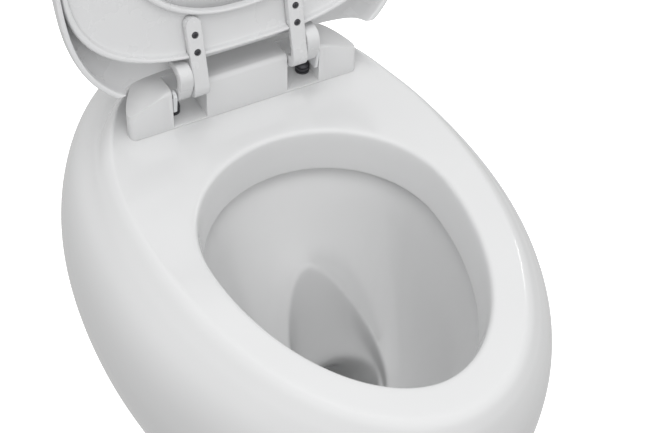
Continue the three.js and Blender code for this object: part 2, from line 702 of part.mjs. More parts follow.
function cisternStations(inset) {
  const base = CISTERN_BASE_WIDTH / 2;
  const top = CISTERN_WIDTH / 2;
  const widen = (share) => base + (top - base) * share;
  return [
    cisternStation(0, base - 8, CISTERN_FRONT + 8, inset),
    cisternStation(0.03, base, CISTERN_FRONT, inset),
    cisternStation(0.2, widen(0.28), CISTERN_FRONT + 2, inset),
    cisternStation(0.35, widen(0.56), CISTERN_FRONT + 4, inset),
    cisternStation(0.52, widen(0.78), CISTERN_FRONT + 8, inset),
    cisternStation(0.75, widen(0.94), CISTERN_FRONT + 13, inset),
    cisternStation(1, top, CISTERN_FRONT + 19, inset),
  ];
}

const INLET_Z = CISTERN_TOP - 62;
const INLET_WALL = CISTERN_WIDTH / 2 - 4; // the side wall's outer face at the inlet

function makeCistern() {
  const inside = cisternStations(CISTERN_WALL).filter((station) => station.z > CISTERN_FLOOR + 5);
  const floor = { ...cisternStation(0.03, CISTERN_BASE_WIDTH / 2, CISTERN_FRONT, CISTERN_WALL) };
  const mouth = { ...inside[inside.length - 1], z: CISTERN_TOP + 20 };
  const room = solid(eggStack([{ ...floor, z: CISTERN_FLOOR }, ...inside, mouth], 36));
  const holes = [
    solid(rod(29, CISTERN_BASE - 20, CISTERN_FLOOR + 20, 0, VALVE_Y, 20)),
    solid(crossRod(9, CISTERN_WIDTH / 2 - 40, CISTERN_WIDTH / 2 + 40, VALVE_Y, INLET_Z, 14)),
    solid(crossRod(17, INLET_WALL, INLET_WALL + 40, VALVE_Y, INLET_Z, 18)),
    ...SIDES.map(([, side]) =>
      solid(rod(5.5, CISTERN_BASE - 20, CISTERN_FLOOR + 20, side * COUPLING_X, VALVE_Y, 14))),
  ];
  const wall = solid(box(-CISTERN_WIDTH, CISTERN_WIDTH, BACK, BACK + 50, 0, CISTERN_TOP + 50));
  return cut(solid(eggStack(cisternStations(0), 36)), room, wall, ...holes);
}
add("cistern", makeCistern(), china);

const LID_BASE = CISTERN_TOP + GAP;
const COVER_TOP = LID_BASE + CISTERN_LID_HEIGHT;
const BUTTON_HOLE = 34;
const LID_TUB = cisternStation(1, CISTERN_WIDTH / 2, CISTERN_FRONT + 19); // the tub's top edge
// Over the flush valve, unless a taller, leaning tub pushes the lid's front back past it.
const BUTTON_Y = Math.max(VALVE_Y, LID_TUB.middle - LID_TUB.front + 66);

function makeCisternLid() {
  const back = BACK - 3 - LID_TUB.middle;
  const shape = (z, by) => ({ ...grown(LID_TUB, by), z, back: back + Math.min(by, 0) });
  const top = solid(eggStack([
    shape(LID_BASE, 2), shape(LID_BASE + 5, 5.5), shape(COVER_TOP - 9, 5.5),
    shape(COVER_TOP - 3, 2), shape(COVER_TOP, -7),
  ], 36));
  const rim = solid(eggStack([shape(LID_BASE - 9, -12), shape(LID_BASE + 4, -12)], 36));
  const recess = solid(eggStack([shape(LID_BASE - 12, -20), shape(COVER_TOP - 10, -20)], 36));
  const hole = solid(rod(BUTTON_HOLE, LID_BASE - 30, COVER_TOP + 30, 0, BUTTON_Y, 24));
  return cut(join(top, rim), recess, hole);
}
add("cistern_lid", makeCisternLid(), china);

// ---- Dual flush button --------------------------------------------------------------
const BEZEL_INSIDE = 31;
const BUTTON_TRAVEL = 7;
const BUTTON_TOP = COVER_TOP + 2.6;
add("button_bezel", turned([
  [BEZEL_INSIDE, COVER_TOP - 34], [BUTTON_HOLE - 0.6, COVER_TOP - 34],
  [BUTTON_HOLE - 0.6, COVER_TOP + GAP], [39, COVER_TOP + GAP], [39, COVER_TOP + 1.6],
  [37, COVER_TOP + 3.2], [BEZEL_INSIDE, COVER_TOP + 3.2], [BEZEL_INSIDE, COVER_TOP - 34],
], 0, BUTTON_Y, 24), chrome);
const nutTop = COVER_TOP - 10 - GAP;
add("button_ring_nut", turned([
  [BUTTON_HOLE - 0.3, nutTop - 7], [42, nutTop - 7], [42, nutTop],
  [BUTTON_HOLE - 0.3, nutTop], [BUTTON_HOLE - 0.3, nutTop - 7],
], 0, BUTTON_Y, 24), whitePlastic);

// The two buttons share one round field, split by a straight gap nearer the left edge.
function button(from, to) {
  const radius = BEZEL_INSIDE - 0.5;
  const cap = solid(turned([
    [0, BUTTON_TOP - 14], [radius, BUTTON_TOP - 14], [radius, BUTTON_TOP - 1.2],
    [radius - 1.2, BUTTON_TOP - 0.3], [0, BUTTON_TOP],
  ], 0, BUTTON_Y, 24));
  const side = box(from, to, BUTTON_Y - 60, BUTTON_Y + 60, BUTTON_TOP - 30, BUTTON_TOP + 30);
  return cap.intersect(solid(side));
}
const SPLIT = -7;
add("full_flush_button", button(SPLIT + 0.4, 60), chrome);
add("half_flush_button", button(-60, SPLIT - 0.4), chrome);
const HEAD_TOP = CISTERN_TOP - 70; // top of the flush valve's head
const rodTop = BUTTON_TOP - 14 - GAP;
add("full_flush_rod", rod(3, HEAD_TOP + BUTTON_TRAVEL + 3, rodTop, 12, BUTTON_Y, 12), bluePlastic);
add("half_flush_rod", rod(3, HEAD_TOP + BUTTON_TRAVEL + 3, rodTop, -17, BUTTON_Y, 12),
  whitePlastic);

// ---- Flush valve --------------------------------------------------------------------
const SEAT_FACE = CISTERN_FLOOR + 7; // the ring that the valve's seal closes on
const BASKET_TOP = CISTERN_FLOOR + 62;
function makeValveBody() {
  const shell = solid(turned([
    [22, SHELF_Z - 18], [26.5, SHELF_Z - 18], [26.5, CISTERN_FLOOR + GAP],
    [37, CISTERN_FLOOR + GAP], [37, CISTERN_FLOOR + 4], [34, SEAT_FACE],
    [34, BASKET_TOP], [19, BASKET_TOP + 14], [19, HEAD_TOP - 22], [26, HEAD_TOP - 18],
    [26, HEAD_TOP], [0, HEAD_TOP], [0, HEAD_TOP - 5], [16, HEAD_TOP - 5],
    [16, BASKET_TOP + 10], [31, BASKET_TOP - 3], [31, SEAT_FACE], [22, SEAT_FACE],
    [22, SHELF_Z - 18],
  ], 0, VALVE_Y, 18));
  const low = SEAT_FACE + 6;
  const windows = [0, 1, 2].map((i) => {
    const window = box(-50, 50, -9, 9, low, BASKET_TOP - 8).rotateZ((i * Math.PI) / 3);
    return solid(window.translate(0, VALVE_Y, 0));
  });
  return cut(shell, ...windows);
}
add("flush_valve_body", makeValveBody(), whitePlastic);
add("flush_valve_seal", turned([
  [7, SEAT_FACE + GAP], [27, SEAT_FACE + GAP], [27, SEAT_FACE + 3],
  [7, SEAT_FACE + 3], [7, SEAT_FACE + GAP],
], 0, VALVE_Y, 24), rubber);
const SPINDLE_TOP = HEAD_TOP - 34;
add("flush_valve_spindle", turned([
  [6, SEAT_FACE + 3 + GAP], [20, SEAT_FACE + 3 + GAP], [20, SEAT_FACE + 6],
  [9, SEAT_FACE + 9], [9, SPINDLE_TOP], [6, SPINDLE_TOP], [6, SEAT_FACE + 3 + GAP],
], 0, VALVE_Y, 18), bluePlastic);
add("flush_valve_back_nut", hexNut(27.2, 62, CISTERN_BASE - 10, CISTERN_BASE - GAP, 0, VALVE_Y),
  whitePlastic);
add("doughnut_washer", turned([
  [37.5, SHELF_Z - 10 + GAP], [44, SHELF_Z - 10 + GAP], [45.4, SHELF_Z - 5],
  [45.4, CISTERN_BASE - GAP], [37.5, CISTERN_BASE - GAP], [37.5, SHELF_Z - 10 + GAP],
], 0, VALVE_Y, 22), rubber);

// ---- Bolts that hold the cistern on the shelf ---------------------------------------
for (const [word, side] of SIDES) {
  const x = side * COUPLING_X;
  const washerTop = CISTERN_FLOOR + GAP + 4;
  add(`cistern_bolt_${word}`, turned([
    [0, SHELF_Z - 65], [4, SHELF_Z - 65], [4, washerTop + GAP], [10, washerTop + GAP],
    [9, washerTop + 4], [0, washerTop + 5.5],
  ], x, VALVE_Y, 14), steel);
  add(`cistern_bolt_washer_${word}`, turned([
    [4.3, CISTERN_FLOOR + GAP], [13, CISTERN_FLOOR + GAP], [13, washerTop],
    [4.3, washerTop], [4.3, CISTERN_FLOOR + GAP],
  ], x, VALVE_Y, 16), rubber);
  add(`cistern_wing_nut_${word}`, wingNut(4.3, SHELF_Z - 23 - GAP, x, VALVE_Y), whitePlastic);
}

// ---- Fill valve ---------------------------------------------------------------------
const INSIDE_WALL = INLET_WALL - CISTERN_WALL - 6;
const PIVOT_X = INSIDE_WALL - 46;
function makeFillValve() {
  const shank = solid(crossRod(8.4, INSIDE_WALL - 6, INLET_WALL + 22, VALVE_Y, INLET_Z, 16));
  const collar = solid(crossRod(15, INSIDE_WALL - 8, INSIDE_WALL - 3, VALVE_Y, INLET_Z, 16));
  const housing = solid(crossRod(12, INSIDE_WALL - 38, INSIDE_WALL - 6, VALVE_Y, INLET_Z, 16));
  const spout = solid(rod(6, INLET_Z - 60, INLET_Z, INSIDE_WALL - 24, VALVE_Y, 12));
  const yoke = solid(box(PIVOT_X - 5, INSIDE_WALL - 34, VALVE_Y - 8, VALVE_Y + 8,
    INLET_Z - 6, INLET_Z + 6));
  const slot = solid(box(PIVOT_X - 9, PIVOT_X + 7, VALVE_Y - 4, VALVE_Y + 4,
    INLET_Z - 9, INLET_Z + 9));
  const pinHole = solid(rod(1.8, -20, 20, 0, 0, 12).rotateX(Math.PI / 2)
    .translate(PIVOT_X, VALVE_Y, INLET_Z));
  return cut(join(shank, collar, housing, spout, yoke), slot, pinHole);
}
add("fill_valve", makeFillValve(), greyPlastic);
const backNut = add("fill_valve_back_nut", hexNut(8.9, 27, 0, 10), whitePlastic);
backNut.position.set(INLET_WALL + GAP, VALVE_Y, INLET_Z);
backNut.rotation.y = Math.PI / 2;
add("float_pin", rod(1.6, -7.6, 7.6, 0, 0, 12).rotateX(Math.PI / 2)
  .translate(PIVOT_X, VALVE_Y, INLET_Z), steel);

const FLOAT_X = PIVOT_X - 42;
const FLOAT_TOP = INLET_Z - 26;
function makeFloatArm() {
  const arm = new THREE.Shape();
  arm.absarc(PIVOT_X, INLET_Z, 5, -Math.PI / 2, Math.PI / 2, false);
  arm.lineTo(FLOAT_X, INLET_Z - 12);
  arm.lineTo(FLOAT_X - 5, INLET_Z - 14);
  arm.lineTo(FLOAT_X - 5, FLOAT_TOP + GAP);
  arm.lineTo(FLOAT_X + 5, FLOAT_TOP + GAP);
  arm.lineTo(FLOAT_X + 5, INLET_Z - 22);
  const plate = slab(arm, -3.4, 3.4, 8).rotateX(Math.PI / 2);
  const hole = rod(1.8, -20, 20, 0, 0, 12).rotateX(Math.PI / 2).translate(PIVOT_X, 0, INLET_Z);
  return cut(solid(plate), solid(hole));
}
add("float_arm", makeFloatArm(), greyPlastic).position.y = VALVE_Y;
add("float", turned([
  [0, FLOAT_TOP - 52], [22, FLOAT_TOP - 52], [25, FLOAT_TOP - 46], [25, FLOAT_TOP - 4],
  [22, FLOAT_TOP], [0, FLOAT_TOP],
], FLOAT_X, VALVE_Y, 20), bluePlastic);

export default toilet;
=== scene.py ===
# %% [markdown]
# # A close coupled toilet
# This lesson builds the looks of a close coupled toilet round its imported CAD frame.
# The frame fixes every place and every joint, so each piece below is made where the
# frame says it is, and then told which moving body it rides on.

# %% Load the frame
import json
import math
import bpy
from mathutils import Matrix, Vector


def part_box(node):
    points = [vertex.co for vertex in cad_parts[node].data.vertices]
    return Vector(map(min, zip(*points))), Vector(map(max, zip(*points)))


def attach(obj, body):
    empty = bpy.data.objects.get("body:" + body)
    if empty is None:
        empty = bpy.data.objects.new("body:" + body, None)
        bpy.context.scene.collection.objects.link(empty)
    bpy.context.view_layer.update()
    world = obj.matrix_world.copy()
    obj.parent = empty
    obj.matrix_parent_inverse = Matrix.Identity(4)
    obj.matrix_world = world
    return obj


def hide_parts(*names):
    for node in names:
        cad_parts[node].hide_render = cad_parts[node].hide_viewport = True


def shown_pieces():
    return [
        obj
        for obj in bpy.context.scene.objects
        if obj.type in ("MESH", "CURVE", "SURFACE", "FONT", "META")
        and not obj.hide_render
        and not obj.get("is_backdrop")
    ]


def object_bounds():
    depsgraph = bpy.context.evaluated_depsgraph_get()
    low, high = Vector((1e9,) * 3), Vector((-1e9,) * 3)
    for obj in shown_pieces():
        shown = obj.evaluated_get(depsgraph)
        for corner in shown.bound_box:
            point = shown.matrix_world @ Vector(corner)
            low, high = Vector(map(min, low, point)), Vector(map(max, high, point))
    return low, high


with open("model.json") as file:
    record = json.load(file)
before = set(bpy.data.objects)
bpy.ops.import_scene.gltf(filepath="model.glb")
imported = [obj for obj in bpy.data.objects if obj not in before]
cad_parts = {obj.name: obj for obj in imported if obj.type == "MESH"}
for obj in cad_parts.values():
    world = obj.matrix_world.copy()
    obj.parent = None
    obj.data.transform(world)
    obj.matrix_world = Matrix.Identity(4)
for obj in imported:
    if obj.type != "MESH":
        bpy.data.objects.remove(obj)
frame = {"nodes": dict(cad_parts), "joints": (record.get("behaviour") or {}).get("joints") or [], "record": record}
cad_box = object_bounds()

# %% [markdown]
# ## Numbers that everything shares
# Lengths are typed in millimetres, as a maker would write them, and become metres
# when a shape is placed. Heights and the hinge axis are read from the frame.

# %% Shared numbers
MM = 0.001
hinge = next(j for j in frame["joints"] if j["name"] == "lid_hinge")
AXIS_Y, AXIS_Z = hinge["pos_m"][1] / MM, hinge["pos_m"][2] / MM
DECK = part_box("hinge_cover")[0].z / MM - 0.3
COVER_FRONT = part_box("hinge_cover")[0].y / MM
CISTERN_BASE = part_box("cistern")[0].z / MM
CISTERN_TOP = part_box("cistern")[1].z / MM
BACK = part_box("cistern")[1].y / MM
DECK_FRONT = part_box("pan")[0].y / MM + 15
DECK_LENGTH = 541
SHELF = CISTERN_BASE - 8
VALVE_Y = (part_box("button_bezel")[0].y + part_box("button_bezel")[1].y) / 2 / MM
LIP_RISE = 11
CHINA_WALL = 9
LEAN = math.radians(17.2)  # of the raised seat, back from upright
BODY = "pan_and_cistern"
print(f"deck {DECK:.0f} mm, hinge axis at y {AXIS_Y:.0f}, z {AXIS_Z:.0f}")

# %% [markdown]
# ## Helpers for modelling
# Most of this object is egg-shaped: the china, the seat and the lid are all stacks of
# egg outlines. The handiest way to model that is a ring ladder: one circle is added,
# its edge is extruded upwards once for each outline, and every rung is then shaped to
# its own egg. A subdivision pass makes it smooth.

# %% Selecting and applying
def deselect():
    bpy.ops.object.select_all(action="DESELECT")


def pick(piece):
    deselect()
    piece.select_set(True)
    bpy.context.view_layer.objects.active = piece


def apply(piece, kind, **settings):
    pick(piece)
    modifier = piece.modifiers.new(kind.title(), kind)
    for name, value in settings.items():
        setattr(modifier, name, value)
    bpy.ops.object.modifier_apply(modifier=modifier.name)


def settle(piece):
    """Puts the piece's place into its mesh, so that its object sits at the origin."""
    pick(piece)
    bpy.ops.object.transform_apply(location=True, rotation=True, scale=True)


def heal(piece):
    """Merges doubled points and turns every face outwards."""
    pick(piece)
    bpy.ops.object.mode_set(mode="EDIT")
    bpy.ops.mesh.select_all(action="SELECT")
    bpy.ops.mesh.remove_doubles(threshold=0.00002)
    bpy.ops.mesh.normals_make_consistent(inside=False)
    bpy.ops.object.mode_set(mode="OBJECT")


def smooth(piece, degrees):
    pick(piece)
    bpy.ops.object.shade_smooth_by_angle(angle=math.radians(degrees))


def finished(piece, body, look, slot, *nodes):
    """Gives the piece its finish and its body, and hides the CAD nodes that it stands for."""
    piece.data.materials.clear()
    piece.data.materials.append(look)
    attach(piece, body)
    if nodes:
        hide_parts(*nodes)
    print(f"{piece.name}: {len(piece.data.polygons)} faces")


# %% Egg outlines
def egg(half, front, back, middle, z, blunt=2, square=2, lip=0):
    """A rung: the place on an egg outline at an angle that runs from the front tip to +X."""
    def place(angle):
        sine, cosine = math.sin(angle), math.cos(angle)
        power = 2 / (blunt if cosine > 0 else square)
        x = half * math.copysign(abs(sine) ** power, sine)
        along = math.copysign(abs(cosine) ** power, cosine)
        y = middle - (front if cosine > 0 else back) * along
        return x, y, z + (lip * lip_lift(y) if lip else 0)
    return place


def lip_lift(y):
    """How far the deck's back lip has risen at y."""
    share = min(1, max(0, (y - COVER_FRONT + 25) / 70))
    return LIP_RISE * share * share * (3 - 2 * share)


def through(stations, steps):
    """More rows between stations, on a smooth curve through them all."""
    at = [0]
    for one, two in zip(stations, stations[1:]):
        at.append(at[-1] + math.dist(one[:4], two[:4]) ** 0.5 + 0.01)
    last = len(stations) - 1
    slope = []
    for i in range(last + 1):
        lo, hi = max(i - 1, 0), min(i + 1, last)
        slope.append([(b - a) / (at[hi] - at[lo]) for a, b in zip(stations[lo], stations[hi])])
    rows = []
    for i in range(last):
        span = at[i + 1] - at[i]
        for step in range(steps):
            t = step / steps
            h00, h10 = 2 * t**3 - 3 * t**2 + 1, t**3 - 2 * t**2 + t
            h01, h11 = 3 * t**2 - 2 * t**3, t**3 - t**2
            rows.append([
                h00 * a + h10 * span * m + h01 * b + h11 * span * n
                for a, b, m, n in zip(stations[i], stations[i + 1], slope[i], slope[i + 1])
            ])
    return rows + [list(stations[-1])]


def mixed(one, two, share, drop=None):
    """A rung part of the way from one rung to another. Drop is its share of the height."""
    down = share if drop is None else drop
    def place(angle):
        a, b = one(angle), two(angle)
        return tuple(p + (q - p) * s for p, q, s in zip(a, b, (share, share, down)))
    return place


# %% The ring ladder
def ring_ladder(name, rungs, sides=128, levels=1):
    deselect()
    bpy.ops.mesh.primitive_circle_add(vertices=sides, radius=1)
    piece = bpy.context.active_object
    piece.name = piece.data.name = name
    bpy.ops.object.mode_set(mode="EDIT")
    bpy.ops.mesh.select_all(action="SELECT")
    for _ in rungs[1:]:
        bpy.ops.mesh.extrude_edges_move(TRANSFORM_OT_translate={"value": (0, 0, 1)})
    bpy.ops.object.mode_set(mode="OBJECT")
    for vertex in piece.data.vertices:
        rung = rungs[round(vertex.co.z)]
        vertex.co = Vector(rung(math.atan2(vertex.co.x, -vertex.co.y))) * MM
    heal(piece)
    if levels:
        apply(piece, "SUBSURF", levels=levels, render_levels=levels)
    smooth(piece, 40)
    return piece


def point(x, y, z):
    """A rung with no size, which closes a ladder in a pole."""
    return lambda angle: (x, y, z)


# %% [markdown]
# ## Finishes
# Four effects are used by more than one finish, so each is a node group. Glaze wave is
# the slow unevenness of fired glaze. Handling gives faint smudges and polish marks.
# Moulding grain is the very fine texture of moulded plastic. Turned lines are the
# marks that a lathe or a brush leaves on metal.

# %% Node group helper
def new_group(name, inputs, outputs):
    group = bpy.data.node_groups.new(name, "ShaderNodeTree")
    for label, value in inputs:
        socket = group.interface.new_socket(label, in_out="INPUT", socket_type="NodeSocketFloat")
        socket.default_value = value
    for label, kind in outputs:
        group.interface.new_socket(label, in_out="OUTPUT", socket_type=kind)
    start = group.nodes.new("NodeGroupInput")
    end = group.nodes.new("NodeGroupOutput")
    return group, start, end


def noise_on_object(tree, scale, detail):
    coords = tree.nodes.new("ShaderNodeTexCoord")
    noise = tree.nodes.new("ShaderNodeTexNoise")
    noise.inputs["Scale"].default_value = scale
    noise.inputs["Detail"].default_value = detail
    tree.links.new(coords.outputs["Object"], noise.inputs["Vector"])
    return noise


# %% Glaze wave, handling and moulding grain
def wave_group(name, scale, detail):
    group, start, end = new_group(
        name, [("Strength", 0.1), ("Depth", 0.001)], [("Normal", "NodeSocketVector")])
    noise = noise_on_object(group, scale, detail)
    bump = group.nodes.new("ShaderNodeBump")
    group.links.new(noise.outputs["Fac"], bump.inputs["Height"])
    group.links.new(start.outputs["Strength"], bump.inputs["Strength"])
    group.links.new(start.outputs["Depth"], bump.inputs["Distance"])
    group.links.new(bump.outputs["Normal"], end.inputs["Normal"])
    return group


GLAZE_WAVE = wave_group("glaze_wave", 11.0, 1.5)
MOULDING_GRAIN = wave_group("moulding_grain", 900.0, 2.0)


def handling_group():
    group, start, end = new_group(
        "handling", [("Low", 0.1), ("High", 0.2), ("Scale", 24.0)],
        [("Value", "NodeSocketFloat")])
    noise = noise_on_object(group, 24.0, 5.0)
    spread = group.nodes.new("ShaderNodeMapRange")
    spread.inputs["From Min"].default_value = 0.35
    spread.inputs["From Max"].default_value = 0.68
    group.links.new(start.outputs["Scale"], noise.inputs["Scale"])
    group.links.new(noise.outputs["Fac"], spread.inputs["Value"])
    group.links.new(start.outputs["Low"], spread.inputs["To Min"])
    group.links.new(start.outputs["High"], spread.inputs["To Max"])
    group.links.new(spread.outputs["Result"], end.inputs["Value"])
    return group


HANDLING = handling_group()


def turned_group():
    group, start, end = new_group("turned_lines", [("Strength", 0.1)],
                                  [("Normal", "NodeSocketVector")])
    coords = group.nodes.new("ShaderNodeTexCoord")
    wave = group.nodes.new("ShaderNodeTexWave")
    wave.bands_direction = "Z"
    wave.inputs["Scale"].default_value = 900
    wave.inputs["Distortion"].default_value = 3
    bump = group.nodes.new("ShaderNodeBump")
    bump.inputs["Distance"].default_value = 0.0002
    group.links.new(coords.outputs["Object"], wave.inputs["Vector"])
    group.links.new(wave.outputs["Fac"], bump.inputs["Height"])
    group.links.new(start.outputs["Strength"], bump.inputs["Strength"])
    group.links.new(bump.outputs["Normal"], end.inputs["Normal"])
    return group


TURNED_LINES = turned_group()
print("node groups:", GLAZE_WAVE.name, MOULDING_GRAIN.name, HANDLING.name, TURNED_LINES.name)


# %% [markdown]
# A finish is a Principled shader whose colour moves gently between two close tones,
# whose roughness comes from Handling, and whose normal comes from one of the others.
# A finish can also darken its colour below a height, as painted shade in the bowl.

# %% Making a finish
def painted_shade_by_height(tree, colour, low, high, least):
    """Painted shade: the colour times a share that falls from 1 at height high to least at height low, so low
    surfaces look shaded.
    """
    place = tree.nodes.new("ShaderNodeTexCoord")
    split = tree.nodes.new("ShaderNodeSeparateXYZ")
    share = tree.nodes.new("ShaderNodeMapRange")
    share.interpolation_type = "SMOOTHSTEP"
    share.inputs["From Min"].default_value, share.inputs["From Max"].default_value = low, high
    share.inputs["To Min"].default_value, share.inputs["To Max"].default_value = least, 1
    scale = tree.nodes.new("ShaderNodeVectorMath")
    scale.operation = "SCALE"
    tree.links.new(place.outputs["Object"], split.inputs["Vector"])
    tree.links.new(split.outputs["Z"], share.inputs["Value"])
    tree.links.new(colour, scale.inputs[0])
    tree.links.new(share.outputs["Result"], scale.inputs["Scale"])
    return scale.outputs["Vector"]


def finish(name, tones, rough, normal, normal_values, metal=0.0, coat=0.0, painted_shade_below=None):
    """The painted shade below is a low height, a high height in metres, and the tone's share at the low one; the
    colour darkens below that height, as painted shade.
    """
    look = bpy.data.materials.new(name)
    look.use_nodes = True
    tree = look.node_tree
    shader = tree.nodes["Principled BSDF"]
    noise = noise_on_object(tree, 6.0, 4.0)
    ramp = tree.nodes.new("ShaderNodeValToRGB")
    ramp.color_ramp.elements[0].position = 0.3
    ramp.color_ramp.elements[1].position = 0.7
    for stop, tone in zip(ramp.color_ramp.elements, tones):
        stop.color = (*tone, 1)
    tree.links.new(noise.outputs["Fac"], ramp.inputs["Fac"])
    colour = ramp.outputs["Color"]
    # Painted shade: below a height the colour darkens, standing in for the shade in the bowl.
    if painted_shade_below:
        colour = painted_shade_by_height(tree, colour, *painted_shade_below)
    tree.links.new(colour, shader.inputs["Base Color"])
    marks = tree.nodes.new("ShaderNodeGroup")
    marks.node_tree = HANDLING
    marks.inputs["Low"].default_value, marks.inputs["High"].default_value = rough
    tree.links.new(marks.outputs["Value"], shader.inputs["Roughness"])
    relief = tree.nodes.new("ShaderNodeGroup")
    relief.node_tree = normal
    for label, value in normal_values.items():
        relief.inputs[label].default_value = value
    tree.links.new(relief.outputs["Normal"], shader.inputs["Normal"])
    shader.inputs["Metallic"].default_value = metal
    shader.inputs["Coat Weight"].default_value = coat
    shader.inputs["Coat Roughness"].default_value = 0.03
    print("finish:", name)
    return look


# %% The finishes
GRAIN = {"Strength": 0.12, "Depth": 0.0002}
# The glaze's colour darkens from 0.37 m down to 0.3 m and stays that dark below: painted shade for the inside of
# the bowl and the lower china.
CHINA = finish("glazed_china", [(0.655, 0.658, 0.661), (0.67, 0.673, 0.676)], (0.1, 0.15),
               GLAZE_WAVE, {"Strength": 0.06, "Depth": 0.004}, coat=0.35,
               painted_shade_below=(0.3, 0.37, 0.87))
SEAT = finish("seat_thermoset", [(0.62, 0.623, 0.628), (0.635, 0.638, 0.643)], (0.25, 0.3),
              MOULDING_GRAIN, GRAIN, coat=0.15)
COVER = finish("cover_moulding", [(0.64, 0.643, 0.647), (0.66, 0.663, 0.667)], (0.34, 0.43),
               MOULDING_GRAIN, GRAIN)
WHITE = finish("white_nylon", [(0.70, 0.71, 0.72), (0.75, 0.76, 0.77)], (0.42, 0.55),
               MOULDING_GRAIN, GRAIN)
GREY = finish("grey_acetal", [(0.34, 0.36, 0.38), (0.38, 0.40, 0.42)], (0.4, 0.5),
              MOULDING_GRAIN, GRAIN)
BLUE = finish("blue_polypropylene", [(0.05, 0.12, 0.27), (0.07, 0.15, 0.31)], (0.4, 0.5),
              MOULDING_GRAIN, GRAIN)
PAD = finish("milky_buffer", [(0.62, 0.63, 0.64), (0.68, 0.69, 0.70)], (0.45, 0.6),
             MOULDING_GRAIN, GRAIN)
RUBBER = finish("black_rubber", [(0.018, 0.018, 0.02), (0.032, 0.032, 0.034)], (0.6, 0.8),
                MOULDING_GRAIN, {"Strength": 0.3, "Depth": 0.0003})
STEEL = finish("turned_stainless", [(0.40, 0.41, 0.42), (0.48, 0.485, 0.49)], (0.22, 0.36),
               TURNED_LINES, {"Strength": 0.15}, metal=1.0)
DARK = finish("oxidised_screw", [(0.10, 0.10, 0.11), (0.16, 0.16, 0.17)], (0.34, 0.5),
              TURNED_LINES, {"Strength": 0.1}, metal=1.0)
ZINC = finish("zinc_plate", [(0.42, 0.43, 0.44), (0.52, 0.53, 0.53)], (0.35, 0.6),
              MOULDING_GRAIN, {"Strength": 0.25, "Depth": 0.0003}, metal=1.0)
CHROME = finish("bright_chrome", [(0.70, 0.71, 0.72), (0.74, 0.75, 0.76)], (0.05, 0.1),
                GLAZE_WAVE, {"Strength": 0.02, "Depth": 0.001}, metal=1.0)
LOOKS = {
    "china": CHINA, "seat_plastic": SEAT, "cover_plastic": COVER, "white_plastic": WHITE,
    "grey_plastic": GREY, "blue_plastic": BLUE, "buffer_rubber": PAD, "black_rubber": RUBBER,
    "stainless_steel": STEEL, "galvanised_steel": ZINC, "chrome": CHROME,
}

# %% [markdown]
# ## The pan
# A pan is slip-cast clay: one skin with no seam, so it is one ladder here as well. It
# starts inside the foot, goes round the foot's edge and up the outside, rolls over on
# to the deck, drops down the rim's wall, goes back under the rim, and runs down the
# bowl and the well into the trap.

# %% The outside of the pan
EGG_MIDDLE = DECK_FRONT + DECK_LENGTH * 0.567
EGG_FRONT, EGG_BACK = EGG_MIDDLE - DECK_FRONT, DECK_LENGTH * 0.433


def shell(share, half, front, back, square=2.15, lip=0.0):
    return (DECK * share, half, EGG_FRONT + front, EGG_BACK + back, square, lip)


SHELL = [
    shell(0, 159, -47, -8),
    shell(0.01, 163, -44, -5),
    shell(0.27, 193, -14, 30),
    shell(0.51, 225, 9, 68),
    shell(0.62, 235, 14, 88),
    shell(0.71, 236.6, 14.8, 98),
    shell(0.8, 229, 14, 98),
    shell(0.88, 216, 11, 86),
    shell(0.935, 201, 8, 58),
    shell(0.965, 191, 4, 14, 2.5),
    shell(0.985, 184, 0, 2, 2.6, 0.7),
    shell(0.997, 178, -6, -2, 2.6, 1),
    shell(1, 174, -12, -5, 2.6, 1),
    shell(1, 170, -22, -10, 2.6),
]


def shell_rung(row, by=0.0, z=None):
    height, half, front, back, square, lip = row
    return egg(half + by, front + by, back + by, EGG_MIDDLE, height if z is None else z,
               square=square, lip=max(0, lip))


outside = [shell_rung(row) for row in through(SHELL[:10], 4)]
outside += [shell_rung(row) for row in through(SHELL[9:13], 3)[1:]]
outside.append(shell_rung(SHELL[13]))
foot = SHELL[1]
inside_foot = [point(0, EGG_MIDDLE, 104)]
inside_foot += [shell_rung(foot, by, z) for by, z in
                [(-100, 104), (-40, 103), (-24, 97), (-19, 84), (-19, 8), (-18, 1.5), (-16, 0)]]
print("rungs outside the pan:", len(outside) + len(inside_foot))


# %% The deck, the rim and the bowl
OPENING_HALF, OPENING_FRONT, OPENING_BACK = 133.5, 213.5, 127.5
RIM_MIDDLE = DECK_FRONT + 44.5 + OPENING_FRONT


def rim(by, depth):
    """A rung of the opening, grown by so much and so far below the deck."""
    return egg(OPENING_HALF + by, OPENING_FRONT + by, OPENING_BACK + by, RIM_MIDDLE,
               DECK - depth, blunt=1.93)


deck_edge = outside[-1]
deck = [mixed(deck_edge, rim(12, 0), share) for share in (0.25, 0.5, 0.75, 0.92)]
rim_wall = [rim(by, depth) for by, depth in [
    (7, 0), (4.4, 0.35), (2.4, 1.3), (1.0, 3), (0.1, 6), (-1.2, 14), (-2.8, 26),
    (-4.6, 38), (-5.9, 47.5), (-6.1, 49), (-5.7, 49.8), (-4.6, 50.1), (0, 49.6), (4, 48.6)]]


def well_rung(half, front, back, middle, high, low, square=1.75):
    """A rung of the well: it stands higher at its back than at its sides and front."""
    flat = egg(half, front, back, middle, 0, blunt=1.9, square=square)
    def place(angle):
        x, y, _ = flat(angle)
        share = (1 - math.cos(angle)) / 2
        return x, y, low + (high - low) * share ** 2.6
    return place


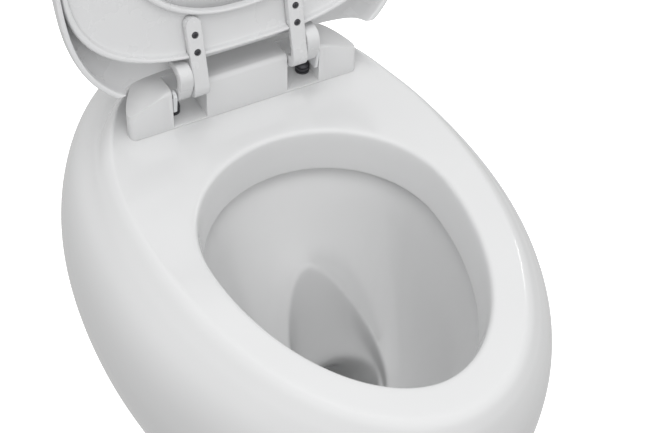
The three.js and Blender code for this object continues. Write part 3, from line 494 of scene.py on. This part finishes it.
under_rim = rim(6.5, 55)
mouth = well_rung(50, 74, 78, -137, 288, 203)
bowl = [mixed(under_rim, mouth, s, 1 - (1 - s) ** 1.9)
        for s in (0, 0.04, 0.1, 0.18, 0.28, 0.4, 0.52, 0.64, 0.76, 0.87, 0.95)]
bowl += [
    mouth,
    well_rung(48.5, 71, 74.5, -138, 282, 200),
    well_rung(47.4, 69, 70, -139, 270, 196),
    well_rung(46.5, 66, 56, -141, 240, 192, 1.85),
    well_rung(45.5, 62, 40, -143, 212, 190, 2),
    well_rung(44, 52, 30, -146, 197, 189, 2),
    well_rung(42.5, 45, 27, -147, 190, 187, 2),
    well_rung(41, 41, 29, -148, 182, 182, 2),
    well_rung(40, 38, 33, -146, 170, 166, 2),
    well_rung(38, 36, 36, -138, 156, 140, 2),
    well_rung(34, 32, 34, -128, 142, 122, 2),
    well_rung(20, 20, 20, -122, 130, 116, 2),
    point(0, -122, 120),
]
pan = ring_ladder("pan_body", inside_foot + outside + deck + rim_wall + bowl, sides=144)
finished(pan, BODY, CHINA, "china", "pan")

# %% [markdown]
# ## The shelf and the outlet
# Behind the egg a boxed neck carries the cistern, and the spigot comes out under it.
# The neck is a ladder too, laid along Y and made of rounded boxes, with a flare where
# it grows out of the egg.

# %% The cistern's shelf
BOX_POWER = 7.0  # how square the neck's corners are


def box_rung(half, low, high, y):
    def place(angle):
        sine, cosine = math.sin(angle), math.cos(angle)
        x = half * math.copysign(abs(sine) ** (2 / BOX_POWER), sine)
        rise = math.copysign(abs(cosine) ** (2 / BOX_POWER), cosine)
        return x, y, (low + high) / 2 - (high - low) / 2 * rise
    return place


def neck_half(y):
    corner = max(0, y - 278)
    flare = max(0, 196 - y) / 30
    return 22 + math.sqrt(max(1, 72 ** 2 - corner ** 2)) + 9 * min(1, flare) ** 2


neck = [point(0, 120, 310), box_rung(60, 260, 360, 121)]
neck += [box_rung(neck_half(y), 232, SHELF, y)
         for y in (124, 150, 166, 180, 196, 220, 250, 278, 296, 312, 326, 337)]
neck += [box_rung(neck_half(344), 235, SHELF - 3, 345), box_rung(44, 240, SHELF - 8, 349),
         box_rung(28, 262, SHELF - 30, 350), point(0, 350, 310)]
shelf = ring_ladder("pan_shelf", neck, sides=96)
finished(shelf, BODY, CHINA, "china")


# %% The outlet spigot
def pipe_rung(radius, y, z):
    return lambda angle: (radius * math.sin(angle), y, z - radius * math.cos(angle))


spigot = [point(0, 130, 200), pipe_rung(30, 131, 200), pipe_rung(48, 140, 199)]
spigot += [pipe_rung(50, y, z) for y, z in
           [(165, 195), (200, 188), (240, 182), (290, 180), (334, 180)]]
spigot += [pipe_rung(49, 338.5, 180), pipe_rung(47, 340, 180), pipe_rung(40, 340, 180),
           pipe_rung(37.6, 338.5, 180), pipe_rung(37, 335, 180), pipe_rung(37, 240, 182),
           pipe_rung(30, 200, 188), point(0, 198, 188)]
outlet = ring_ladder("pan_outlet", spigot, sides=64)
finished(outlet, BODY, CHINA, "china")

# %% [markdown]
# ## The hinge cover
# A satin moulding hides the seat's fixings. Its top is one smooth sheet bent down to
# the back and to both ends. A grid is shaped to that sheet, its skirt is extruded down
# to the deck, the two notches are cut, and all its edges get a small round.

# %% The cover's skin
COVER_HALF, COVER_BACK, CORNER = 136.5, 88.0, 6.0
COLUMNS, ROWS = 120, 44


def cover_height(x, y):
    t = min(1, max(0, (y - 9) / (COVER_BACK - 9)))
    side = 49 * (1 - t) ** 3 + 3 * 48 * t * (1 - t) ** 2 + 3 * 36 * t * t * (1 - t) + 14 * t**3
    side -= 4 * max(0, 1 - (y - 4) / 5) ** 2
    reach = abs(x)
    if reach < 60:
        end = 60.0
    elif reach < 88:
        end = 60 - (reach - 60) * 10 / 28
    else:
        end = 50 - (reach - 88) * 21 / 45.5
    blend = 3.0
    return min(side, end) - blend * math.exp(-abs(side - end) / blend) * 0.5


deselect()
bpy.ops.mesh.primitive_grid_add(x_subdivisions=COLUMNS, y_subdivisions=ROWS, size=2)
cover = bpy.context.active_object
cover.name = cover.data.name = "hinge_cover_shell"
bpy.ops.object.mode_set(mode="EDIT")
bpy.ops.mesh.select_all(action="SELECT")
bpy.ops.mesh.extrude_region_move(TRANSFORM_OT_translate={"value": (0, 0, -1)})
bpy.ops.object.mode_set(mode="OBJECT")
for vertex in cover.data.vertices:
    u, v, low = vertex.co.x, (vertex.co.y + 1) / 2, vertex.co.z < -0.5
    deep = v ** 1.8
    y = 4 * (1 - low) + deep * (80 - 4 * (1 - low))
    half = min(133.5, COVER_HALF * math.sqrt(1 - ((y + 5) / COVER_BACK) ** 2))
    corner = max(0, 1 - deep * 80 / CORNER)
    x = u * (half - CORNER * (1 - math.sqrt(1 - corner * corner)))
    z = 0 if low else cover_height(x, y)
    vertex.co = Vector((x, COVER_FRONT + y, DECK + 0.3 + z)) * MM
heal(cover)


# %% The notches for the hinge arms
def cutter(x0, x1, y0, y1, z0, z1):
    deselect()
    centre = Vector(((x0 + x1) / 2, (y0 + y1) / 2, (z0 + z1) / 2)) * MM
    bpy.ops.mesh.primitive_cube_add(size=1, location=centre)
    tool = bpy.context.active_object
    tool.scale = ((x1 - x0) * MM, (y1 - y0) * MM, (z1 - z0) * MM)
    settle(tool)
    return tool


def carve(piece, tool):
    apply(piece, "BOOLEAN", operation="DIFFERENCE", object=tool, solver="EXACT")
    bpy.data.objects.remove(tool)


NOTCH_IN, NOTCH_OUT, NOTCH_DEPTH, NOTCH_FLOOR = 47.6, 86.0, 34.0, 2.8
for side in (-1, 1):
    ends = sorted((side * NOTCH_IN, side * NOTCH_OUT))
    carve(cover, cutter(*ends, COVER_FRONT - 10, COVER_FRONT + NOTCH_DEPTH,
                        DECK + NOTCH_FLOOR, DECK + 80))
apply(cover, "BEVEL", width=0.0013, segments=3, limit_method="ANGLE",
      angle_limit=math.radians(38), harden_normals=False)
smooth(cover, 30)
finished(cover, BODY, COVER, "cover_plastic", "hinge_cover")

# %% [markdown]
# ## The seat and the lid
# Both are modelled closed and flat, with the hinge axis at the origin, and then swung
# up to where they rest. The seat is a ring with a raised rim round each edge of its
# underside. The lid is a shallow dish whose wall comes down round the seat.

# %% Swinging a piece up
SWING = Matrix.Translation((0, AXIS_Y * MM, AXIS_Z * MM)) @ Matrix.Rotation(
    -math.pi / 2 - LEAN, 4, "X")


def swing_up(piece):
    piece.data.transform(SWING)
    piece.data.update()
    return piece


# %% The seat
SEAT_UNDER = -14.6
SEAT_TOP = SEAT_UNDER + 20
REACH = AXIS_Y - DECK_FRONT + 3
seat_outer = dict(half=184, front=REACH - 150, back=150 - 39.6, middle=-150, square=2.8)
seat_inner = dict(half=118, front=REACH - 254, back=190 - 83.4, middle=-190, square=2.2)


def seat_rung(share, z):
    inner, outer = egg(z=z, **seat_inner), egg(z=z, **seat_outer)
    return mixed(inner, outer, share)


SEAT_PROFILE = [
    (0, SEAT_TOP - 10), (0, SEAT_UNDER + 6), (0.006, SEAT_UNDER + 1.6), (0.02, SEAT_UNDER + 0.2),
    (0.045, SEAT_UNDER), (0.075, SEAT_UNDER + 0.2), (0.09, SEAT_UNDER + 1.3),
    (0.1, SEAT_UNDER + 4.5), (0.115, SEAT_UNDER + 6.4), (0.15, SEAT_UNDER + 7),
    (0.3, SEAT_UNDER + 7.4), (0.5, SEAT_UNDER + 7.6), (0.7, SEAT_UNDER + 7.4),
    (0.86, SEAT_UNDER + 7),
    (0.885, SEAT_UNDER + 6.4), (0.9, SEAT_UNDER + 4.5), (0.91, SEAT_UNDER + 1.3),
    (0.925, SEAT_UNDER + 0.2), (0.955, SEAT_UNDER), (0.98, SEAT_UNDER + 0.2),
    (0.994, SEAT_UNDER + 1.6), (1, SEAT_UNDER + 6), (1, SEAT_TOP - 11), (0.985, SEAT_TOP - 6),
    (0.95, SEAT_TOP - 2.6), (0.85, SEAT_TOP - 0.5), (0.7, SEAT_TOP), (0.5, SEAT_TOP - 0.2),
    (0.3, SEAT_TOP - 1), (0.15, SEAT_TOP - 2.6), (0.05, SEAT_TOP - 5.5), (0, SEAT_TOP - 10),
]
seat = ring_ladder("seat_ring", [seat_rung(*row) for row in SEAT_PROFILE], sides=96)
ARM_IN = NOTCH_IN + 0.8
SEAT_ARM_OUT = ARM_IN + 17
for side in (-1, 1):
    ends = sorted((side * (ARM_IN - 0.3), side * (SEAT_ARM_OUT + 0.3)))
    carve(seat, cutter(*ends, -86.3, -30, -40, SEAT_UNDER + 7.4))
smooth(seat, 40)
finished(swing_up(seat), "seat_body", SEAT, "seat_plastic", "seat")

# %% The lid
LID_LIP, LID_TOP, LID_INNER = -18.0, 22.0, 13.4


def lid_rung(z, inset):
    return egg(191 - inset, REACH + 8 - 150 - inset, 155 - inset, -150, z, square=3)


LID_OUTSIDE = [
    (LID_TOP, 120), (LID_TOP - 0.1, 60), (LID_TOP - 0.8, 38), (LID_TOP - 2.2, 25),
    (15.6, 14), (10.5, 7), (4, 2.6), (-4, 0.7), (-12, 0.1), (LID_LIP + 1.2, 0.2),
    (LID_LIP + 0.2, 1.0),
]
LID_INSIDE = [
    (LID_LIP, 2.4), (LID_LIP + 0.1, 4.6), (LID_LIP + 1, 5.6), (-12, 6.2), (-5, 7),
    (1, 9), (6, 13), (10.4, 19), (12.8, 26), (LID_INNER, 34), (LID_INNER, 60), (LID_INNER, 120),
]
lid_rungs = [point(0, -150, LID_TOP)]
lid_rungs += [lid_rung(*row) for row in LID_OUTSIDE + LID_INSIDE]
lid_rungs.append(point(0, -150, LID_INNER))
lid = ring_ladder("lid_dish", lid_rungs, sides=128)
pick(lid)
bpy.ops.object.mode_set(mode="EDIT")
bpy.ops.mesh.select_all(action="SELECT")
bpy.ops.mesh.bisect(plane_co=(0, -0.025, 0), plane_no=(0, 1, 0), use_fill=True,
                    clear_outer=True)
bpy.ops.object.mode_set(mode="OBJECT")
apply(lid, "BEVEL", width=0.0012, segments=3, limit_method="ANGLE",
      angle_limit=math.radians(50))
smooth(lid, 40)
finished(swing_up(lid), "lid_body", SEAT, "seat_plastic", "lid")

# %% [markdown]
# ## Hardware that the frame already shapes well
# Pins, valves, buffers and nuts have the right shape in the frame, but their edges
# are sharp and their curves faceted. A merged copy of each gets a small bevel and
# smooth shading, and stands for its node.

# %% Copies of the frame's small pieces
def refined_copy(node, body, slot):
    source = frame["nodes"][node]
    piece = bpy.data.objects.new(node + "_piece", source.data.copy())
    bpy.context.scene.collection.objects.link(piece)
    pick(piece)
    bpy.ops.object.mode_set(mode="EDIT")
    bpy.ops.mesh.select_all(action="SELECT")
    bpy.ops.mesh.remove_doubles(threshold=0.00001)
    bpy.ops.mesh.tris_convert_to_quads(face_threshold=0.02, shape_threshold=0.7)
    bpy.ops.mesh.dissolve_limited(angle_limit=math.radians(0.5))
    bpy.ops.object.mode_set(mode="OBJECT")
    apply(piece, "BEVEL", width=0.0003, segments=3, limit_method="ANGLE",
          angle_limit=math.radians(38))
    smooth(piece, 30)
    finished(piece, body, LOOKS[slot], slot, node)


SLOTS = {row["node"]: row["material_slot"] for row in frame["record"]["subparts"]}
BODIES = {node: body for body, nodes in frame["record"]["behaviour"]["bodies"].items()
          for node in nodes}
REMADE = {"pan", "hinge_cover", "seat", "lid", "cistern", "cistern_lid", "seat_arm_left",
          "seat_arm_right", "lid_arm_left", "lid_arm_right", "hinge_post_left",
          "hinge_post_right"}
SCREWS = {node for node in SLOTS if node.startswith(("seat_screw", "lid_screw"))}
for node in sorted(set(SLOTS) - REMADE - SCREWS):
    refined_copy(node, BODIES[node], SLOTS[node])

# %% [markdown]
# ## The hinge arms
# Each arm is a strap seen from the side, so its outline is drawn once and carried
# across its width, a little smaller at both faces to round the edges. The seat's arm
# ends in a half circle and has a sunk seat for each of its screws.

# %% Drawing an arm's outline
def bezier(a, b, c, d, count):
    for i in range(count):
        t = i / count
        yield tuple(
            (1 - t) ** 3 * p + 3 * t * (1 - t) ** 2 * q + 3 * t * t * (1 - t) * r + t**3 * w
            for p, q, r, w in zip(a, b, c, d))


def line(a, b, count):
    for i in range(count):
        yield tuple(p + (q - p) * i / count for p, q in zip(a, b))


def arc(radius, start, stop, count):
    for i in range(count):
        angle = start + (stop - start) * i / count
        yield radius * math.cos(angle), radius * math.sin(angle)


def strap(name, outline, x0, x1, trim=None):
    """A plate with rounded edges. The outline runs anticlockwise seen from +X."""
    count = len(outline)
    def rung(x, inset):
        def place(angle):
            i = round(angle / (2 * math.pi) * count) % count
            (y0, z0), (y1, z1) = outline[i - 1], outline[(i + 1) % count]
            length = math.hypot(y1 - y0, z1 - z0) or 1
            y = outline[i][0] - inset * (z1 - z0) / length
            z = outline[i][1] + inset * (y1 - y0) / length
            return x, max(y, trim(x) + inset) if trim else y, z
        return place
    faces = [(0, 1.1), (0.16, 0.62), (0.5, 0.22), (1.1, 0)]
    middle = [x0 + (x1 - x0) * i / 12 for i in range(2, 11)]
    rungs = [rung(x0 + dx, inset) for dx, inset in faces]
    rungs += [rung(x, 0) for x in middle]
    rungs += [rung(x1 - dx, inset) for dx, inset in reversed(faces)]
    piece = ring_ladder(name, rungs, sides=count, levels=0)
    pick(piece)
    bpy.ops.object.mode_set(mode="EDIT")
    bpy.ops.mesh.select_all(action="DESELECT")
    bpy.ops.mesh.select_non_manifold()
    bpy.ops.mesh.edge_face_add()
    bpy.ops.mesh.select_all(action="SELECT")
    bpy.ops.mesh.normals_make_consistent(inside=False)
    bpy.ops.object.mode_set(mode="OBJECT")
    return piece


def sink(piece, x, y, z0, z1):
    """Cuts a round screw seat into the piece."""
    deselect()
    bpy.ops.mesh.primitive_cylinder_add(vertices=32, radius=3.9 * MM, depth=(z1 - z0) * MM,
                                        location=Vector((x, y, (z0 + z1) / 2)) * MM)
    tool = bpy.context.active_object
    settle(tool)
    carve(piece, tool)


# %% The seat's arms and the lid's arms
ARM_END, ARM_FACE, ARM_BACK, KNUCKLE = -86.0, -17.6, SEAT_UNDER + 6.7, 6.2
ARM_MIDDLE, ARM_RADIUS = (ARM_IN + SEAT_ARM_OUT) / 2, 8.5
SEAT_SCREWS = {"rear": -48, "front": -67.2}  # each screw's y
seat_outline = [
    *line((ARM_END, ARM_FACE), (-9, ARM_FACE), 30),
    *bezier((-9, ARM_FACE), (1, ARM_FACE), (6.2, -10), (6.2, 0), 14),
    *arc(KNUCKLE, 0, math.pi * 0.75, 12),
    *bezier((-4.4, 4.4), (-8.5, 0), (-5, ARM_FACE + 6.5), (-14, ARM_FACE + 6.5), 10),
    *line((-14, ARM_FACE + 6.5), (-36, ARM_FACE + 6.5), 8),
    *bezier((-36, ARM_FACE + 6.5), (-40, ARM_FACE + 6.5), (-40, ARM_BACK), (-44, ARM_BACK), 6),
    *line((-44, ARM_BACK), (ARM_END, ARM_BACK), 16),
    *line((ARM_END, ARM_BACK), (ARM_END, ARM_FACE), 4),
]
LID_ARM_IN, LID_ARM_OUT = SEAT_ARM_OUT + 0.5, SEAT_ARM_OUT + 15.0
FOOT_TOP = LID_INNER - 0.3
lid_outline = [
    *line((-72, FOOT_TOP - 3.5), (-40, FOOT_TOP - 3.5), 10),
    *bezier((-40, FOOT_TOP - 3.5), (-38, 4), (-38, -2), (-37, -8), 8),
    *bezier((-37, -8), (-32, -25), (-14, -24), (5.4, -3.1), 22),
    *arc(KNUCKLE, -math.pi / 6, math.pi * 0.9, 16),
    *bezier((-5.9, 1.9), (-9, -9), (-25, -12), (-30, 2), 16),
    *line((-30, 2), (-34, FOOT_TOP), 6),
    *line((-34, FOOT_TOP), (-72, FOOT_TOP), 10),
    *line((-72, FOOT_TOP), (-72, FOOT_TOP - 3.5), 3),
]


def round_end(x):
    return ARM_END + ARM_RADIUS - math.sqrt(max(0, ARM_RADIUS**2 - (abs(x) - ARM_MIDDLE) ** 2))


for word, side in (("left", -1), ("right", 1)):
    ends = sorted((side * ARM_IN, side * SEAT_ARM_OUT))
    arm = strap(f"seat_arm_{word}_strap", seat_outline, *ends, round_end)
    for y in SEAT_SCREWS.values():
        sink(arm, side * ARM_MIDDLE, y, ARM_FACE - 4, ARM_FACE + 2.2)
    smooth(arm, 32)
    finished(swing_up(arm), "seat_body", SEAT, "seat_plastic", f"seat_arm_{word}")
    ends = sorted((side * LID_ARM_IN, side * LID_ARM_OUT))
    arm = strap(f"lid_arm_{word}_strap", lid_outline, *ends)
    smooth(arm, 32)
    finished(swing_up(arm), "lid_body", SEAT, "seat_plastic", f"lid_arm_{word}")

# %% [markdown]
# ## The hinge posts
# A post is a ribbed dark collar screwed down on the china, with a slim light eye beside
# the arms that carries the pin.

# %% The posts
FLOOR_TOP = DECK + NOTCH_FLOOR
POST_X, POST_LENGTH = 77.5, 62
EYE_IN, EYE_OUT = 81.1, 85.0
COLLAR = [(3.9, -POST_LENGTH), (3.9, 0.3), (7.9, 0.3), (7.9, 2.6), (6.9, 3.0), (6.9, 4.2),
          (7.9, 4.6), (7.9, 7.2), (7.0, 7.6), (7.0, 8.6), (7.6, 9.0), (7.1, 10.8),
          (5.6, 12.4), (3.2, 13.2)]
eye_outline = [
    *line((-4, -22), (23, -22), 10), *line((23, -22), (23, -18.5), 3),
    *bezier((23, -18.5), (12, -18), (8, -8), (5.9, 0), 10), *arc(5.9, 0, math.pi, 18),
    *line((-5.9, 0), (-4, -22), 8),
]
for word, side in (("left", -1), ("right", 1)):
    x, y = side * POST_X, COVER_FRONT + 23
    rungs = [point(x, y, FLOOR_TOP - POST_LENGTH)]
    for radius, rise in COLLAR:
        rungs.append(lambda angle, r=radius, z=rise: (
            x + r * math.sin(angle), y - r * math.cos(angle), FLOOR_TOP + z))
    rungs.append(point(x, y, FLOOR_TOP + 13.4))
    collar = ring_ladder(f"hinge_post_{word}_collar", rungs, sides=40, levels=0)
    finished(collar, BODY, DARK, "stainless_steel", f"hinge_post_{word}")
    ends = sorted((side * EYE_IN, side * EYE_OUT))
    eye = strap(f"hinge_post_{word}_eye", eye_outline, *ends)
    eye.data.transform(Matrix.Translation((0, AXIS_Y * MM, AXIS_Z * MM)))
    smooth(eye, 32)
    finished(eye, BODY, WHITE, "white_plastic")

# %% [markdown]
# ## The cross-head screws
# Eight screws hold the arms. Each is a turned head with a cross-shaped recess, on a
# plain shank. The seat's are long and the lid's are short.

# %% One screw
def make_screw(name, length):
    rows = [(0, -length), (1.2, -length), (1.7, -length + 1), (1.7, -0.3), (1.7, 0),
            (3.1, 0), (3.4, 0.15), (3.45, 0.5), (3.3, 1.0), (2.8, 1.45), (1.8, 1.72), (0, 1.8)]
    rungs = [egg(max(r, 0.001), max(r, 0.001), max(r, 0.001), 0, z) for r, z in rows]
    piece = ring_ladder(name, rungs, sides=24)
    for spread in ((2.3, 0.42), (0.42, 2.3)):
        carve(piece, cutter(-spread[0], spread[0], -spread[1], spread[1], 0.7, 4))
    smooth(piece, 30)
    return piece


def place_screw(node, length, at):
    piece = make_screw(node + "_head", length)
    piece.data.transform(Matrix.Rotation(math.pi, 4, "X"))
    piece.data.transform(Matrix.Translation(Vector(at) * MM))
    finished(swing_up(piece), BODIES[node], DARK, "stainless_steel", node)


# %% All eight screws
LID_ARM_MIDDLE = LID_ARM_IN + 7.25
LID_SCREWS = {"rear": -46, "front": -62}
for word, side in (("left", -1), ("right", 1)):
    for spot, y in SEAT_SCREWS.items():
        place_screw(f"seat_screw_{word}_{spot}", 14, (side * ARM_MIDDLE, y, -15.9))
    for spot, y in LID_SCREWS.items():
        place_screw(f"lid_screw_{word}_{spot}", 6.5, (side * LID_ARM_MIDDLE, y, 9.6))

# %% [markdown]
# ## The cistern
# The cistern is a china tub, broad at the top and narrow at its foot, with a wall of
# 9 mm. Its ladder goes up the outside, over the top edge and down the inside.

# %% The cistern's tub
CISTERN_HEIGHT = CISTERN_TOP - CISTERN_BASE
TUB_MIDDLE = VALVE_Y + 18
TUB = [(0, 104, 211), (0.03, 112, 203), (0.2, 130.5, 205), (0.35, 149, 207),
       (0.52, 163.5, 211), (0.75, 174, 216), (1, 178, 222)]


def tub_rung(row, inset=0.0, z=None):
    share, half, front = row
    front = TUB_MIDDLE - front - inset
    height = CISTERN_BASE + CISTERN_HEIGHT * share if z is None else z
    flat = egg(half - inset, front, BACK + 4 - TUB_MIDDLE - inset, TUB_MIDDLE, height,
               blunt=3, square=7)
    def place(angle):
        x, y, level = flat(angle)
        return x, min(y, BACK - max(inset, 0)), level
    return place


rows = through(TUB[1:], 4)
tub = [point(0, TUB_MIDDLE, CISTERN_BASE), tub_rung(TUB[0], 24, CISTERN_BASE),
       tub_rung(TUB[0], 2, CISTERN_BASE), tub_rung(TUB[0], -3, CISTERN_BASE + 2.5)]
tub += [tub_rung(row) for row in rows[:-1]]
tub += [tub_rung(rows[-1], 0, CISTERN_TOP - 3), tub_rung(rows[-1], 0.6, CISTERN_TOP - 0.8),
        tub_rung(rows[-1], 2, CISTERN_TOP), tub_rung(rows[-1], 7, CISTERN_TOP),
        tub_rung(rows[-1], CHINA_WALL, CISTERN_TOP - 2)]
tub += [tub_rung(row, CHINA_WALL) for row in rows[-2:3:-1]]
tub += [tub_rung(rows[2], CHINA_WALL, CISTERN_BASE + 22),
        tub_rung(rows[1], 20, CISTERN_BASE + 12.5), tub_rung(rows[1], 60, CISTERN_BASE + 12),
        point(0, TUB_MIDDLE, CISTERN_BASE + 12)]
cistern = ring_ladder("cistern_tub", tub, sides=112)
finished(cistern, BODY, CHINA, "china", "cistern")


# %% The cistern's lid
CAP_HEIGHT = 28
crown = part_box("cistern_lid")[1].z / MM
LID_BASE = crown - CAP_HEIGHT


def top_rung(by, z):
    _, half, front = TUB[-1]
    half, front = half + by, TUB_MIDDLE - front + by
    back = BACK - 3 - TUB_MIDDLE + min(by, 0)
    return egg(half, front, back, TUB_MIDDLE, z, blunt=3, square=7)


def round_rung(radius, z):
    return egg(radius, radius, radius, VALVE_Y, z)


cap = [round_rung(34, crown - 9), round_rung(34, crown - 0.8), round_rung(34.6, crown - 0.1),
       round_rung(36, crown)]
cap += [mixed(round_rung(40, crown), top_rung(-22, crown - 0.4), s) for s in (0, 0.3, 0.65, 1)]
cap += [top_rung(by, z) for by, z in [
    (-12, crown - 0.7), (-5, crown - 1.6), (0, crown - 3.6), (3.6, crown - 7),
    (5.4, crown - 11), (5.5, LID_BASE + 7), (5, LID_BASE + 2.5), (3.4, LID_BASE + 0.6),
    (1.4, LID_BASE), (-6, LID_BASE), (-11, LID_BASE), (-12, LID_BASE - 1), (-12, LID_BASE - 8),
    (-13, LID_BASE - 9), (-18, LID_BASE - 9), (-20, LID_BASE - 8), (-20, crown - 12),
    (-22, crown - 10)]]
cap += [mixed(top_rung(-22, crown - 10), round_rung(38, crown - 10), s) for s in (0.5, 1)]
cap += [round_rung(34, crown - 10), round_rung(34, crown - 9)]
cistern_lid = ring_ladder("cistern_lid_cap", cap, sides=112)
finished(cistern_lid, BODY, CHINA, "china", "cistern_lid")

# %% [markdown]
# ## The camera
# The camera looks down into the pan from the front and its left, with a slight roll.

# %% Camera
camera_data = bpy.data.cameras.new("camera")
camera = bpy.data.objects.new("camera", camera_data)
bpy.context.scene.collection.objects.link(camera)
right = Vector((0.87624, -0.47808, 0.06003))
up = Vector((0.31718, 0.66611, 0.67502))
toward = Vector((-0.36275, -0.57244, 0.73534))
camera.matrix_world = Matrix.Translation((-0.5202, -0.9090, 1.4490)) @ Matrix(
    (right, up, toward)).transposed().to_4x4()
camera_data.sensor_width = 36
camera_data.lens = 79.18
camera_data.clip_start = 0.01
bpy.context.scene.camera = camera

# %% [markdown]
# ## Floor and light
# A white floor and a white room, dimmer toward the floor, give the flat light of a
# catalogue. A broad softbox high on the left gives the shapes their tone, a weaker one
# fills from the front, and a narrow strip draws a thin highlight along the glaze.

# %% Floor
deselect()
bpy.ops.mesh.primitive_plane_add(size=80, location=(0, 0, -0.001))
floor = bpy.context.active_object
floor.name = "floor"
floor_look = bpy.data.materials.new("white_floor")
floor_look.use_nodes = True
floor_shader = floor_look.node_tree.nodes["Principled BSDF"]
floor_shader.inputs["Base Color"].default_value = (0.9, 0.9, 0.9, 1)
floor_shader.inputs["Roughness"].default_value = 0.9
floor_shader.inputs["Emission Color"].default_value = (1, 1, 1, 1)
floor_shader.inputs["Emission Strength"].default_value = 0.75
floor.data.materials.append(floor_look)
floor.visible_diffuse = False
floor.visible_glossy = False
floor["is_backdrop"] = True


# %% Lights
BOWL = Vector((0, -0.1, 0.4))
STRIP_REACH = 2.4


def softbox(name, place, target, size, power):
    light = bpy.data.lights.new(name, "AREA")
    light.shape = "RECTANGLE"
    light.size, light.size_y = size
    light.energy = power
    lamp = bpy.data.objects.new(name, light)
    bpy.context.scene.collection.objects.link(lamp)
    lamp.location = place
    aim = Vector(target) - Vector(place)
    lamp.rotation_euler = aim.to_track_quat("-Z", "Y").to_euler()
    return lamp


def strip(name, direction, size, power):
    """A thin light that only shows as a highlight in the glaze."""
    lamp = softbox(name, BOWL + STRIP_REACH * Vector(direction), BOWL, size, power)
    lamp.visible_diffuse = False
    return lamp


key = softbox("key", (-0.6, -0.4, 3.0), (0, -0.1, 0.35), (1.8, 1.8), 27)
key.visible_glossy = False
front = softbox("front", (-0.2, -2.6, 1.5), (0, 0.1, 0.5), (2.0, 1.4), 12)
front.visible_glossy = False
strip("right_strip", (0.83, 0.28, 0.48), (0.03, 0.8), 1.5)

# %% The room
world = bpy.data.worlds.new("white_room")
world.use_nodes = True
room = world.node_tree
where = room.nodes.new("ShaderNodeTexCoord")
split = room.nodes.new("ShaderNodeSeparateXYZ")
room.links.new(where.outputs["Generated"], split.inputs["Vector"])
dim = room.nodes.new("ShaderNodeMapRange")
dim.inputs["From Min"].default_value = -0.5
dim.inputs["From Max"].default_value = 0.7
dim.inputs["To Min"].default_value = 0.62
dim.inputs["To Max"].default_value = 0.9
room.links.new(split.outputs["Z"], dim.inputs["Value"])
room.nodes["Background"].inputs["Color"].default_value = (1, 1, 1, 1)
room.links.new(dim.outputs["Result"], room.nodes["Background"].inputs["Strength"])
bpy.context.scene.world = world
bpy.context.scene.view_settings.view_transform = "Standard"
print("lights:", key.name, front.name, "right_strip; world:", world.name)

# %% Measure and finish
SLACK = 0.00002  # how far past the frame's box a piece may reach, in metres
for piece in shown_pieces():
    corners = [Vector(corner) for corner in piece.bound_box]
    for axis in range(3):
        low, high = min(c[axis] for c in corners), max(c[axis] for c in corners)
        if low < cad_box[0][axis] - SLACK or high > cad_box[1][axis] + SLACK:
            print(f"outside the frame's box: {piece.name} {low:.4f} {high:.4f}")
